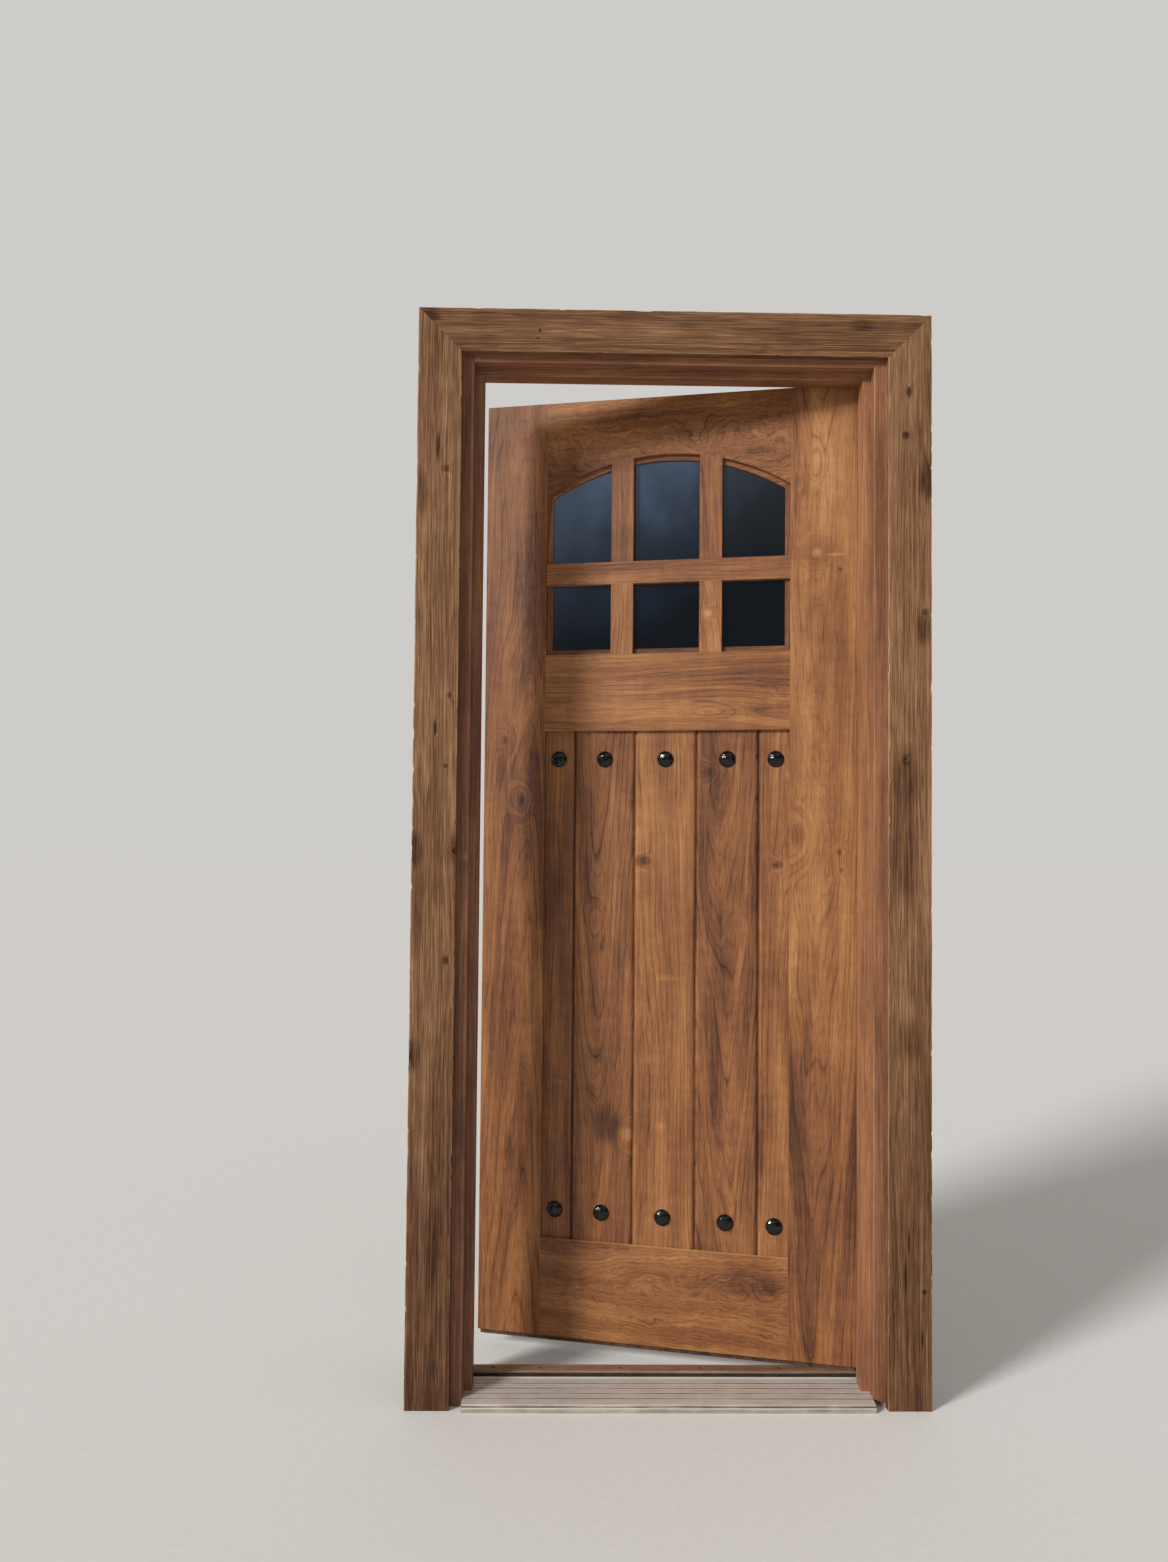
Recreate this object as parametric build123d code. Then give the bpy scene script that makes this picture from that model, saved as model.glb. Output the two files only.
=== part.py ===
from build123d import *
from math import sqrt
import os

# Rustic exterior door: a plank leaf with a six-lite arched window, hung in its frame.
# X runs along the wall, Y runs from outdoors to indoors, Z is up.
# The origin is the middle of the opening, on the wall's outer face, at the sill's underside.

# Modelling allowances: how far a cut runs past a face, and a distance too small to matter
over = 1.0
hair = 0.01

# Leaf
leaf_width = 813.0
leaf_height = 2048.0
leaf_thickness = 44.5
leaf_bottom = 43.0
side_gap = 3.0
head_gap = 5.0
ajar_angle = 13.0

# Stiles, rails and their joints
stile_width = 139.7
bottom_rail_height = 207.5
lock_rail_height = 168.5
top_rail_crown = 127.3
tenon_length = 50.0
tenon_thickness = 14.0
tenon_shoulder = 22.0
joint_clearance = 0.3
leaf_arris = 1.5

# Planks
outer_plank_width = 65.8
plank_count = 5
plank_recess = 10.0
plank_housing = 12.0
plank_bevel_width = 7.0
plank_bevel_depth = 4.5
tongue_thickness = 6.0
tongue_length = 8.0

# Arched window
lite_height = 154.5
bar_width = 48.5
lite_columns = 3
arch_rise = 78.7
bead_width = 11.7
bead_recess = 9.5
bead_arris = 1.5
glass_thickness = 3.0
glass_space = 8.0
glass_edge_gap = 3.0
spacer_width = 8.5
bar_seat_gap = 0.1

# Clavos, the domed nail heads
clavo_diameter = 35.5
clavo_height = 10.0
clavo_rim = 1.2
clavo_rim_side_count = 24
clavo_outer_flat_count = 12
clavo_inner_flat_count = 7
clavo_outer_tilt = 41.0
clavo_inner_tilt = 20.0
clavo_edge_distance = 62.0
clavo_side_shift = 3.0
clavo_shank_width = 4.0
clavo_shank_length = 18.0

# Jambs, stops and casing
jamb_depth = 116.0
jamb_thickness = 32.0
jamb_arris = 1.5
stop_depth = 38.0
stop_height = 18.0
casing_width = 89.0
casing_thickness = 19.0
casing_arris = 2.0
casing_mitre_gap = 0.3
side_reveal = 24.0
head_reveal = 15.0
short_foot = 15.0
short_foot_slope = 0.33

# Weatherstrip and door sweep
strip_room = 5.5
strip_width = 13.5
strip_nose = 3.0
seal_clearance = 0.3
kerf_width = 2.8
kerf_depth = 8.5
fin_thickness = 2.4
kerf_edge_distance = 2.5
kerf_end_gap = 1.0
sweep_plate = 2.0
sweep_setback = 4.0
sweep_fin_inset = 11.0
sweep_end_gap = 4.0

# Sill
tread_nose = 27.0
tread_nose_height = 7.4
tread_front_height = 13.6
tread_back_height = 19.8
tread_wall = 2.4
tread_bead = 3.6
tread_bead_rise = 1.0
nose_ridge_count = 2
rib_pitch = 19.0
rib_inset = 27.0
rib_width = 2.4
rib_depth = 1.2
sill_end_gap = 0.2
cap_height = 30.5
cap_depth = 32.0
cap_setback = 1.0
cap_round = 3.0
gasket_thickness = 2.6
gasket_height = 26.5
fit_gap = 0.2
cap_screw_inner_count = 4
cap_screw_pitch = 165.0
cap_screw_shift = -6.5
cap_screw_inset = 55.5
cap_screw_head = 8.4
cap_screw_shank = 4.4
cap_screw_sink = 1.2
cap_screw_end = 4.0

# Butt hinges
hinge_height = 102.0
hinge_plate_depth = 38.0
hinge_plate_thickness = 2.8
hinge_axis_offset = 10.0
hinge_top_distance = 178.0
hinge_bottom_distance = 279.0
mortise_clearance = 0.2
knuckle_radius = 6.5
knuckle_count = 3
knuckle_side_count = 24
knuckle_gap = 0.3
knuckle_clearance = 0.6
pin_radius = 3.5
pin_clearance = 0.05
pin_head_radius = 5.6
pin_head_height = 4.0
pin_head_bevel = 1.0
pin_plug_flare = 0.8
pin_plug_height = 2.0
hinge_screw_rows = (12.0, 28.0)
hinge_screw_spread = (38.0, 14.0)
hinge_screw_head = 8.0
hinge_screw_shank = 4.4
hinge_screw_sink = 2.2
hinge_screw_length = 26.0
screw_clearance = 0.1
screw_side_count = 12
bore_spare = 1.0
slot_length = 4.6
slot_width = 1.0
slot_depth = 1.1

# Wear on the casing: height, depth into the edge, length along the edge
left_outer_nicks = ((1096.0, 5.0, 26.0), (692.0, 7.0, 42.0))
left_inner_nicks = ((1100.0, 9.0, 22.0),)
nick_cut_depth = 9.0
knot_hole_inset = 37.5
knot_hole_z = 1292.0
knot_hole_radius = 5.0
knot_hole_depth = 4.0

# Sizes worked out from those above
half_leaf = leaf_width / 2
half_opening = half_leaf + side_gap
leaf_top = leaf_bottom + leaf_height
head_height = leaf_top + head_gap
frame_half = half_opening + jamb_thickness
frame_top = head_height + jamb_thickness
casing_inner = half_opening + side_reveal
casing_inner_top = head_height + head_reveal
leaf_front = jamb_depth - leaf_thickness
stop_back = leaf_front - strip_room
stop_setback = stop_back - stop_depth
leaf_back = jamb_depth
leaf_middle = (leaf_front + leaf_back) / 2
axis_x = half_leaf + side_gap / 2
axis_y = jamb_depth + hinge_axis_offset

panel_half = half_leaf - stile_width
plank_pitch = 2 * (panel_half - outer_plank_width) / (plank_count - 2)
arch_crown = leaf_top - top_rail_crown
arch_spring = arch_crown - arch_rise
crossbar_top = arch_spring - lite_height
crossbar_bottom = crossbar_top - bar_width
window_bottom = crossbar_bottom - lite_height
panel_top = window_bottom - lock_rail_height
panel_bottom = leaf_bottom + bottom_rail_height
arch_radius = (panel_half ** 2 + arch_rise ** 2) / (2 * arch_rise)
arch_centre = arch_crown - arch_radius
lite_width = (2 * panel_half - (lite_columns - 1) * bar_width) / lite_columns
glass_front = leaf_middle - glass_thickness - glass_space / 2
glass_back = leaf_middle + glass_thickness + glass_space / 2
plank_front = leaf_front + plank_recess
plank_back = leaf_back - plank_recess
tread_length = 2 * (half_opening - sill_end_gap)
cap_front = jamb_depth - cap_setback - cap_depth
tread_back = cap_front - gasket_thickness - 2 * fit_gap
seat_top = tread_back_height - tread_wall - fit_gap


def block(x0, x1, y0, y1, z0, z1):
    """A box between two corners."""
    return Pos((x0 + x1) / 2, (y0 + y1) / 2, (z0 + z1) / 2) * Box(x1 - x0, y1 - y0, z1 - z0)


def prism_x(points, x0, x1):
    """An outline in Y and Z, drawn out along X."""
    face = Plane.YZ.offset(x0) * make_face(Polyline(*points, close=True))
    return extrude(face, amount=x1 - x0)


def prism_y(face, y0, y1):
    """A face in X and Z, drawn out along Y."""
    return extrude(Plane.XZ.offset(-y0) * face, amount=y0 - y1)


def prism_z(points, z0, z1):
    """An outline in X and Y, drawn out along Z."""
    face = Plane.XY.offset(z0) * make_face(Polyline(*points, close=True))
    return extrude(face, amount=z1 - z0)


def rod_y(radius, y0, y1, x, z):
    return Pos(x, (y0 + y1) / 2, z) * Rot(90, 0, 0) * Cylinder(radius, y1 - y0)


def rod_z(radius, z0, z1, x, y):
    return Pos(x, y, (z0 + z1) / 2) * Cylinder(radius, z1 - z0)


def turned(profile):
    """A screw or its bore along Z, from pairs of radius and height, with flats in place of a round."""
    rounds = [Plane.XY.offset(z) * RegularPolygon(radius, screw_side_count) for radius, z in profile]
    shape = loft(rounds[:2], ruled=True)
    for low, high in zip(rounds[1:], rounds[2:]):
        shape += loft([low, high], ruled=True)
    return shape


def ease(solid, axis, y, length):
    """Takes the arris off the straight edges that run along an axis at one depth."""
    edges = [edge for edge in solid.edges().filter_by(axis) if abs(edge.center().Y - y) < hair]
    return chamfer(edges, length)


# Frame

def tread_top(y):
    """Height of the tread's walking surface at a depth."""
    slope = (tread_back_height - tread_front_height) / (tread_back + tread_nose)
    return tread_front_height + slope * (y + tread_nose)


def nick(x, height, depth, length, side):
    """A wedge broken out of a board's edge, deepest in its middle."""
    outline = [(x, height - length / 2), (x - side * depth, height), (x, height + length / 2)]
    face = make_face(Polyline(*outline, (x + side * depth, height), close=True))
    return prism_y(face, -casing_thickness - over, -casing_thickness + nick_cut_depth)


def casing_leg(side):
    """One upright board of the casing, mitred at its top. Side is -1 at the left."""
    inner = side * casing_inner
    outer = side * (casing_inner + casing_width)
    top = casing_inner_top - casing_mitre_gap
    face = make_face(Polyline((inner, 0), (inner, top), (outer, top + casing_width), (outer, 0), close=True))
    board = ease(prism_y(face, -casing_thickness, 0), Axis.Z, -casing_thickness, casing_arris)
    if side > 0:
        knot = rod_y(knot_hole_radius, -casing_thickness - over, knot_hole_depth - casing_thickness,
                     inner + knot_hole_inset, knot_hole_z)
        return board - knot
    for height, depth, length in left_outer_nicks:
        board -= nick(outer, height, depth, length, -1)
    for height, depth, length in left_inner_nicks:
        board -= nick(inner, height, depth, length, 1)
    return board


def casing_head():
    """The board over the opening, mitred at both ends."""
    corner = casing_inner
    outer = casing_inner + casing_width
    low = casing_inner_top
    high = casing_inner_top + casing_width
    face = make_face(Polyline((-corner, low), (corner, low), (outer, high), (-outer, high), close=True))
    return ease(prism_y(face, -casing_thickness, 0), Axis.X, -casing_thickness, casing_arris)


def ease_jamb(board, x):
    """Takes the arris off a side jamb's outdoor edge along the opening."""
    edges = [edge for edge in board.edges().filter_by(Axis.Z)
             if abs(edge.center().X - x) < hair and abs(edge.center().Y) < hair]
    return chamfer(edges, jamb_arris)


def strike_jamb():
    return ease_jamb(block(-frame_half, -half_opening, 0, jamb_depth, 0, frame_top), -half_opening)


def hinge_jamb():
    """The hinge side's board, with its foot cut short on a slant and mortised for the hinges."""
    slant = short_foot_slope * jamb_thickness
    face = make_face(Polyline((half_opening, short_foot), (half_opening, frame_top), (frame_half, frame_top),
                              (frame_half, short_foot - slant), close=True))
    board = ease_jamb(prism_y(face, 0, jamb_depth), half_opening)
    depth = hinge_plate_thickness + mortise_clearance
    return board - hinge_cuts(half_opening, half_opening + depth, 1)


def head_jamb():
    board = block(-half_opening, half_opening, 0, jamb_depth, head_height, frame_top)
    edges = [edge for edge in board.edges().filter_by(Axis.X)
             if abs(edge.center().Z - head_height) < hair and abs(edge.center().Y) < hair]
    return chamfer(edges, jamb_arris)


def side_stop(side):
    """A stop on a side jamb, its foot cut to the slope of the tread and its back kerfed."""
    face = side * half_opening
    inner = side * (half_opening - stop_height)
    foot = [(stop_setback, tread_top(stop_setback) + fit_gap), (stop_back, tread_top(stop_back) + fit_gap)]
    outline = foot + [(stop_back, head_height - stop_height), (stop_setback, head_height - stop_height)]
    board = prism_x(outline, min(face, inner), max(face, inner))
    kerf_outer = half_opening - kerf_edge_distance
    kerf_span = sorted((side * kerf_outer, side * (kerf_outer - kerf_width)))
    return board - block(*kerf_span, stop_back - kerf_depth, stop_back + over, 0, head_height)


def head_stop():
    board = block(-half_opening, half_opening, stop_setback, stop_back, head_height - stop_height, head_height)
    kerf_top = head_height - kerf_edge_distance
    return board - block(-half_opening, half_opening, stop_back - kerf_depth, stop_back + over,
                         kerf_top - kerf_width, kerf_top)


def strip_outline(jamb_face, side):
    """Section of a kerf-in weatherstrip, pressed to the thickness it has behind a closed leaf."""
    fin_outer = jamb_face - side * (kerf_edge_distance + (kerf_width - fin_thickness) / 2)
    fin_inner = fin_outer - side * fin_thickness
    pad_outer = jamb_face - side * fit_gap
    pad_inner = jamb_face - side * strip_width
    front = stop_back + fit_gap
    back = leaf_front - seal_clearance
    fin_end = stop_back - kerf_depth + kerf_end_gap
    return [(pad_outer, front), (pad_outer, back), (pad_inner + side * strip_nose, back),
            (pad_inner, (front + back) / 2), (pad_inner + side * strip_nose, front), (fin_inner, front),
            (fin_inner, fin_end), (fin_outer, fin_end), (fin_outer, front)]


def side_strip(side):
    """A strip behind a side stop. It runs up to the head strip, and its fin ends under the head stop."""
    strip = prism_z(strip_outline(side * half_opening, side), cap_height + seal_clearance,
                    head_height - strip_width - fit_gap)
    return strip - block(-half_opening, half_opening, stop_setback, stop_back + fit_gap,
                         head_height - stop_height - fit_gap, head_height)


def head_strip():
    outline = [(y, z) for z, y in strip_outline(head_height, 1)]
    return prism_x(outline, fit_gap - half_opening, half_opening - fit_gap)


def rib_points(y, width, depth):
    """A square groove in the tread's top, as points from front to back."""
    floor_line = tread_top(y) - depth
    return [(y - width / 2, tread_top(y - width / 2)), (y - width / 2, floor_line),
            (y + width / 2, floor_line), (y + width / 2, tread_top(y + width / 2))]


def sill_tread():
    """The ribbed metal tread: a nose with two small rounds, a sloping top and a bead at the back."""
    step = (tread_front_height - tread_nose_height) / (nose_ridge_count + 1)
    ridge_shares = ((0.5, 0.9), (1.0, 1.0), (1.2, 0.7))
    nose = [(-tread_nose, 0), (-tread_nose, tread_nose_height)]
    for ridge in range(nose_ridge_count):
        for along, up in ridge_shares:
            nose.append((-tread_nose + step * (ridge + along), tread_nose_height + step * (ridge + up)))
    nose_end = -tread_nose + step * (nose_ridge_count + 1)
    nose.append((nose_end, tread_top(nose_end)))
    ribs = []
    y = rib_inset - tread_nose
    while y < tread_back - tread_bead - rib_pitch / 2:
        ribs += rib_points(y, rib_width, rib_depth)
        ribs += rib_points(y + rib_pitch / 2, rib_width / 2, rib_depth / 2)
        y += rib_pitch
    bead_start = tread_back - tread_bead
    bead_top = tread_back_height + tread_bead_rise
    bead = [(bead_start, tread_top(bead_start)), (bead_start + tread_bead_rise, bead_top),
            (tread_back, bead_top)]
    return prism_x(nose + ribs + bead + tread_inside(0), -tread_length / 2, tread_length / 2)


def tread_inside(gap):
    """The underside of the tread's shell from back to front, moved in by a gap."""
    front = -tread_nose + tread_wall + gap
    shoulder = tread_nose_height - tread_wall / 2 - gap
    run = tread_front_height - tread_nose_height
    return [(tread_back, tread_back_height - tread_wall - gap),
            (front + run, tread_top(front + run) - tread_wall - gap), (front, shoulder), (front, 0)]


def sill_core():
    """The block under the tread and the cap, from the nose to the indoor side."""
    inside = tread_inside(fit_gap)
    outline = inside + [(jamb_depth, 0), (jamb_depth, seat_top)]
    core = prism_x(outline, -tread_length / 2, tread_length / 2)
    return core - cap_bores()


def cap_screw_places():
    """The screws of the cap: one near each end and an even row between, a little off the middle."""
    half_row = (cap_screw_inner_count - 1) / 2
    row = [(step - half_row) * cap_screw_pitch + cap_screw_shift for step in range(cap_screw_inner_count)]
    return [cap_screw_inset - half_opening] + row + [half_opening - cap_screw_inset]


def cap_middle():
    return cap_front + cap_depth / 2


def sill_cap():
    """The wooden riser under the leaf, rounded along both top edges and screwed down."""
    cap = block(-tread_length / 2, tread_length / 2, cap_front, cap_front + cap_depth,
                seat_top + fit_gap, cap_height)
    cap = fillet([e for e in cap.edges().filter_by(Axis.X) if e.center().Z > cap_height - hair], cap_round)
    return cap - cap_bores()


def cap_bores():
    """The sunk holes for the cap's screws, through the cap and into the core."""
    top = cap_height - cap_screw_sink
    head = cap_screw_head / 2 + screw_clearance
    shank = cap_screw_shank / 2 + screw_clearance
    bore = turned([(shank, cap_screw_end - bore_spare), (shank, top - head + shank), (head, top),
                   (head, cap_height + over)])
    return [Pos(x, cap_middle(), 0) * bore for x in cap_screw_places()]


def cap_screws():
    """Sunk screws with a straight slot, their cone under a flat head."""
    top = cap_height - cap_screw_sink
    head = cap_screw_head / 2
    shank = cap_screw_shank / 2
    screw = turned([(shank, cap_screw_end), (shank, top - head + shank), (head, top)]) - slot(top)
    return [Pos(x, cap_middle(), 0) * screw for x in cap_screw_places()]


def slot(top):
    """The straight driver slot of a screw whose head ends at a height."""
    half = slot_width / 2
    return block(-slot_length / 2, slot_length / 2, -half, half, top - slot_depth, top + over)


def sill_gasket():
    return block(-tread_length / 2, tread_length / 2, cap_front - fit_gap - gasket_thickness,
                 cap_front - fit_gap, seat_top + fit_gap, gasket_height)


# Hinges

def hinge_bases():
    """Heights of the undersides of the bottom, middle and top hinge."""
    low = leaf_bottom + hinge_bottom_distance
    high = leaf_top - hinge_top_distance - hinge_height
    return [low, (low + high) / 2, high]


def mortise(base, x0, x1):
    """The recess for one hinge plate, open towards indoors."""
    gap = mortise_clearance
    return block(x0, x1, jamb_depth - hinge_plate_depth - gap, jamb_depth + over,
                 base - gap, base + hinge_height + gap)


def screw_places(base):
    """Depth and height of the four screws of a plate, in two staggered rows."""
    middle = base + hinge_height / 2
    return [(jamb_depth - row, middle + sign * spread)
            for row, spread in zip(hinge_screw_rows, hinge_screw_spread) for sign in (-1, 1)]


def plate_face(side):
    """Where the plate's flush face lies, on the jamb (side 1) or on the leaf's edge (side -1)."""
    return half_opening if side > 0 else half_leaf


def at_screws(shape, bases, side):
    """A shape that stands along Z, laid at every screw of some hinges, its foot away from the gap."""
    laid = Rot(0, -90 * side, 0) * shape
    return [Pos(plate_face(side), y, z) * laid for base in bases for y, z in screw_places(base)]


def hinge_cuts(x0, x1, side):
    """The plates' mortises and the screws' bores in the jamb or the leaf's edge."""
    shank = hinge_screw_shank / 2 + screw_clearance
    bore = turned([(shank, -hinge_screw_length - bore_spare), (shank, 0)])
    return [mortise(base, x0, x1) for base in hinge_bases()] + at_screws(bore, hinge_bases(), side)


def hinge_screws(side):
    """Countersunk screws with a straight slot, driven away from the gap."""
    head = hinge_screw_head / 2
    shank = hinge_screw_shank / 2
    screw = turned([(shank, -hinge_screw_length), (shank, -hinge_screw_sink), (head, 0)]) - slot(0)
    return at_screws(screw, hinge_bases(), side)


def sunk_holes(side):
    """The holes and cones in a plate for its screws."""
    head = hinge_screw_head / 2 + screw_clearance
    shank = hinge_screw_shank / 2 + screw_clearance
    hole = turned([(shank, -hinge_plate_thickness - over), (shank, -hinge_screw_sink), (head, 0), (head, over)])
    return at_screws(hole, [0], side)


def knuckle_span(index):
    """Bottom and top of one knuckle, from the hinge's underside."""
    pitch = (hinge_height + knuckle_gap) / knuckle_count
    return index * pitch, (index + 1) * pitch - knuckle_gap


def hinge_plate(side):
    """One leaf of a butt hinge, its underside at Z 0: a plate with its share of the knuckles round the pin."""
    start = plate_face(side)
    span = sorted((start, start + side * hinge_plate_thickness))
    front = jamb_depth - hinge_plate_depth
    edge = axis_y - knuckle_radius - knuckle_clearance
    plate = block(*span, front, edge, 0, hinge_height)
    plate -= sunk_holes(side)
    for index in range(0 if side > 0 else 1, knuckle_count, 2):
        low, high = knuckle_span(index)
        plate += block(*span, edge - over, axis_y, low, high)
        plate += barrel(knuckle_radius, low, high)
    return plate - barrel(pin_radius + pin_clearance, -over, hinge_height + over)


def barrel(radius, low, high):
    """A many-sided round about the pin's axis, the radius being that of the circle inside its flats."""
    outline = RegularPolygon(radius, knuckle_side_count, major_radius=False)
    return Pos(axis_x, axis_y, low) * extrude(outline, amount=high - low)


def hinge_pin():
    """A loose round pin with a button at the top and a plug at the bottom."""
    plug = pin_radius + pin_plug_flare
    base = hinge_height + knuckle_gap
    top = base + pin_head_height
    pin = rod_z(pin_radius, -knuckle_gap, base, 0, 0)
    pin += turned([(plug, -knuckle_gap - pin_plug_height), (plug, -knuckle_gap)])
    pin += turned([(pin_head_radius, base), (pin_head_radius, top - pin_head_bevel),
                   (pin_head_radius - pin_head_bevel, top)])
    return Pos(axis_x, axis_y, 0) * pin


# Leaf, drawn shut

def window_face(margin):
    """The arched window's outline, moved in by a margin on all sides."""
    half = panel_half - margin
    radius = arch_radius - margin
    spring = arch_centre + sqrt(radius ** 2 - half ** 2)
    low = window_bottom + margin
    sides = Polyline((half, spring), (half, low), (-half, low), (-half, spring))
    return make_face(sides + ThreePointArc((-half, spring), (0, arch_centre + radius), (half, spring)))


def tenon(side, low, high, clearance):
    """A rail's tenon, or with a clearance the mortise for it."""
    length = tenon_length + clearance
    root = side * (panel_half - clearance)
    tip = side * (panel_half + length)
    half = tenon_thickness / 2 + clearance
    return block(min(root, tip), max(root, tip), leaf_middle - half, leaf_middle + half,
                 low + tenon_shoulder - clearance, high - tenon_shoulder + clearance)


def rail_spans():
    """Bottom and top of each rail's full-width part."""
    return [(leaf_bottom, panel_bottom), (panel_top, window_bottom), (arch_spring, leaf_top)]


def panel_housing():
    """The groove round the panel that the planks stand in."""
    depth = plank_housing + joint_clearance
    gap = joint_clearance / 2
    return block(-panel_half - depth, panel_half + depth, plank_front - gap, plank_back + gap,
                 panel_bottom - depth, panel_top + depth)


def sweep_kerfs():
    """The two saw kerfs along the leaf's underside for the sweep's barbs."""
    cuts = []
    for y in sweep_fin_depths():
        cuts.append(block(-half_leaf, half_leaf, y - kerf_width / 2, y + kerf_width / 2,
                          leaf_bottom - over, leaf_bottom + kerf_depth))
    return cuts


def stile(side):
    """An upright of the leaf with its mortises, the planks' groove and, at the hinges, their recesses."""
    inner = side * panel_half
    outer = side * half_leaf
    board = block(min(inner, outer), max(inner, outer), leaf_front, leaf_back, leaf_bottom, leaf_top)
    arrises = [e for e in board.edges().filter_by(Axis.Z) if abs(e.center().X - outer) < hair]
    board = chamfer(arrises, leaf_arris)
    board -= panel_housing()
    for low, high in rail_spans():
        board -= tenon(side, low, high, joint_clearance)
    for cut in sweep_kerfs():
        board -= cut
    if side > 0:
        depth = hinge_plate_thickness + mortise_clearance
        board -= hinge_cuts(half_leaf - depth, half_leaf + over, -1)
    return board


def rail(low, high):
    """A rail between the stiles with a tenon at each end, grooved where it meets the planks."""
    board = block(-panel_half, panel_half, leaf_front, leaf_back, low, high)
    for side in (-1, 1):
        board += tenon(side, low, high, 0)
    return board - panel_housing()


def bottom_rail():
    board = rail(leaf_bottom, panel_bottom)
    for cut in sweep_kerfs():
        board -= cut
    return board


def top_rail():
    """The deep rail over the window, its underside sawn to the arch."""
    return rail(arch_spring, leaf_top) - prism_y(window_face(0), leaf_front - over, leaf_back + over)


def plank_edges():
    """Where each plank starts and ends, the joints being spread evenly about the middle."""
    joints = [(index - plank_count / 2) * plank_pitch for index in range(1, plank_count)]
    housed = panel_half + plank_housing
    return list(zip([-housed] + joints, joints + [housed]))


def left_edge(x, jointed):
    """The left side of a plank's section from back to front, grooved where it meets another."""
    if not jointed:
        return [(x, plank_back), (x, plank_front)]
    face = x + joint_clearance / 2
    half = (tongue_thickness + joint_clearance) / 2
    depth = x + tongue_length + joint_clearance
    bevel = x + plank_bevel_width
    return [(bevel, plank_back), (face, plank_back - plank_bevel_depth), (face, leaf_middle + half),
            (depth, leaf_middle + half), (depth, leaf_middle - half), (face, leaf_middle - half),
            (face, plank_front + plank_bevel_depth), (bevel, plank_front)]


def right_edge(x, jointed):
    """The right side of a plank's section from front to back, with its tongue."""
    if not jointed:
        return [(x, plank_front), (x, plank_back)]
    face = x - joint_clearance / 2
    half = tongue_thickness / 2
    tip = x + tongue_length
    bevel = x - plank_bevel_width
    return [(bevel, plank_front), (face, plank_front + plank_bevel_depth), (face, leaf_middle - half),
            (tip, leaf_middle - half), (tip, leaf_middle + half), (face, leaf_middle + half),
            (face, plank_back - plank_bevel_depth), (bevel, plank_back)]


def plank(index):
    """A tongued, grooved and bevelled plank, housed at both ends and bored for its clavos."""
    start, end = plank_edges()[index]
    outline = left_edge(start, index > 0) + right_edge(end, index < plank_count - 1)
    board = prism_z(outline, panel_bottom - plank_housing, panel_top + plank_housing)
    half_hole = clavo_shank_width / 2 + screw_clearance
    x = clavo_place(index)
    for z in clavo_rows():
        board -= block(x - half_hole, x + half_hole, plank_front - over,
                       plank_front + clavo_shank_length + bore_spare, z - half_hole, z + half_hole)
    return board


def clavo_rows():
    return [panel_bottom + clavo_edge_distance, panel_top - clavo_edge_distance]


def clavo_place(index):
    """Middle of a plank's visible width, the outer ones shifted towards the stiles."""
    start, end = plank_edges()[index]
    middle = (max(start, -panel_half) + min(end, panel_half)) / 2
    if index == 0:
        return middle - clavo_side_shift
    return middle + clavo_side_shift if index == plank_count - 1 else middle


def clavo():
    """A forged nail, its domed head hammered to flats and its shank square, standing along Z."""
    radius = clavo_diameter / 2
    crown = clavo_height - clavo_rim
    sphere = (radius ** 2 + crown ** 2) / (2 * crown)
    centre = clavo_height - sphere
    head = extrude(RegularPolygon(radius, clavo_rim_side_count), amount=clavo_height)
    slab = Pos(0, 0, sphere + clavo_height / 2) * Box(2 * clavo_diameter, 2 * clavo_diameter, clavo_height)
    rings = ((clavo_outer_flat_count, clavo_outer_tilt), (clavo_inner_flat_count, clavo_inner_tilt))
    for count, tilt in rings:
        for step in range(count):
            head -= Pos(0, 0, centre) * Rot(0, 0, 360 * step / count) * Rot(0, tilt, 0) * slab
    half = clavo_shank_width / 2
    return head + block(-half, half, -half, half, -clavo_shank_length, clavo_rim)


def clavo_row(nail, z):
    """The clavos of one row, standing on the planks' outer face."""
    turned_out = Rot(90, 0, 0) * nail
    return [Pos(clavo_place(index), plank_front, z) * turned_out for index in range(plank_count)]


def in_window(solid, y0, y1, margin):
    """What of a solid lies inside the window's outline between two depths."""
    return solid & prism_y(window_face(margin), y0, y1)


def bar_piece(x0, x1, z0, z1):
    """An outer glazing bar, flush with the leaf, its ends notched over the bead."""
    notch_front = leaf_front + bead_recess - bar_seat_gap
    stick = block(x0, x1, leaf_front, glass_front, z0, z1)
    front = in_window(stick, leaf_front, notch_front, bar_seat_gap)
    return front + in_window(stick, notch_front, glass_front, bead_width + bar_seat_gap)


def bar_places():
    """Left and right edge of each upright bar."""
    return [(-panel_half + step * (lite_width + bar_width) - bar_width,
             -panel_half + step * (lite_width + bar_width)) for step in range(1, lite_columns)]


def crossbar():
    return bar_piece(-panel_half, panel_half, crossbar_bottom, crossbar_top)


def upper_bars():
    return [bar_piece(x0, x1, crossbar_top + bar_seat_gap, arch_crown) for x0, x1 in bar_places()]


def lower_bars():
    return [bar_piece(x0, x1, window_bottom, crossbar_bottom - bar_seat_gap) for x0, x1 in bar_places()]


def bead_ring():
    """The whole outer bead, set back from the leaf's face, eased along its glass side."""
    front = leaf_front + bead_recess
    ring = prism_y(window_face(0), front, glass_front)
    ring -= prism_y(window_face(bead_width), front - over, glass_front + over)
    bevel = loft([Plane.XZ.offset(hair - front) * window_face(bead_width - bead_arris),
                  Plane.XZ.offset(-front - bead_arris) * window_face(bead_width)])
    return ring - bevel


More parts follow.
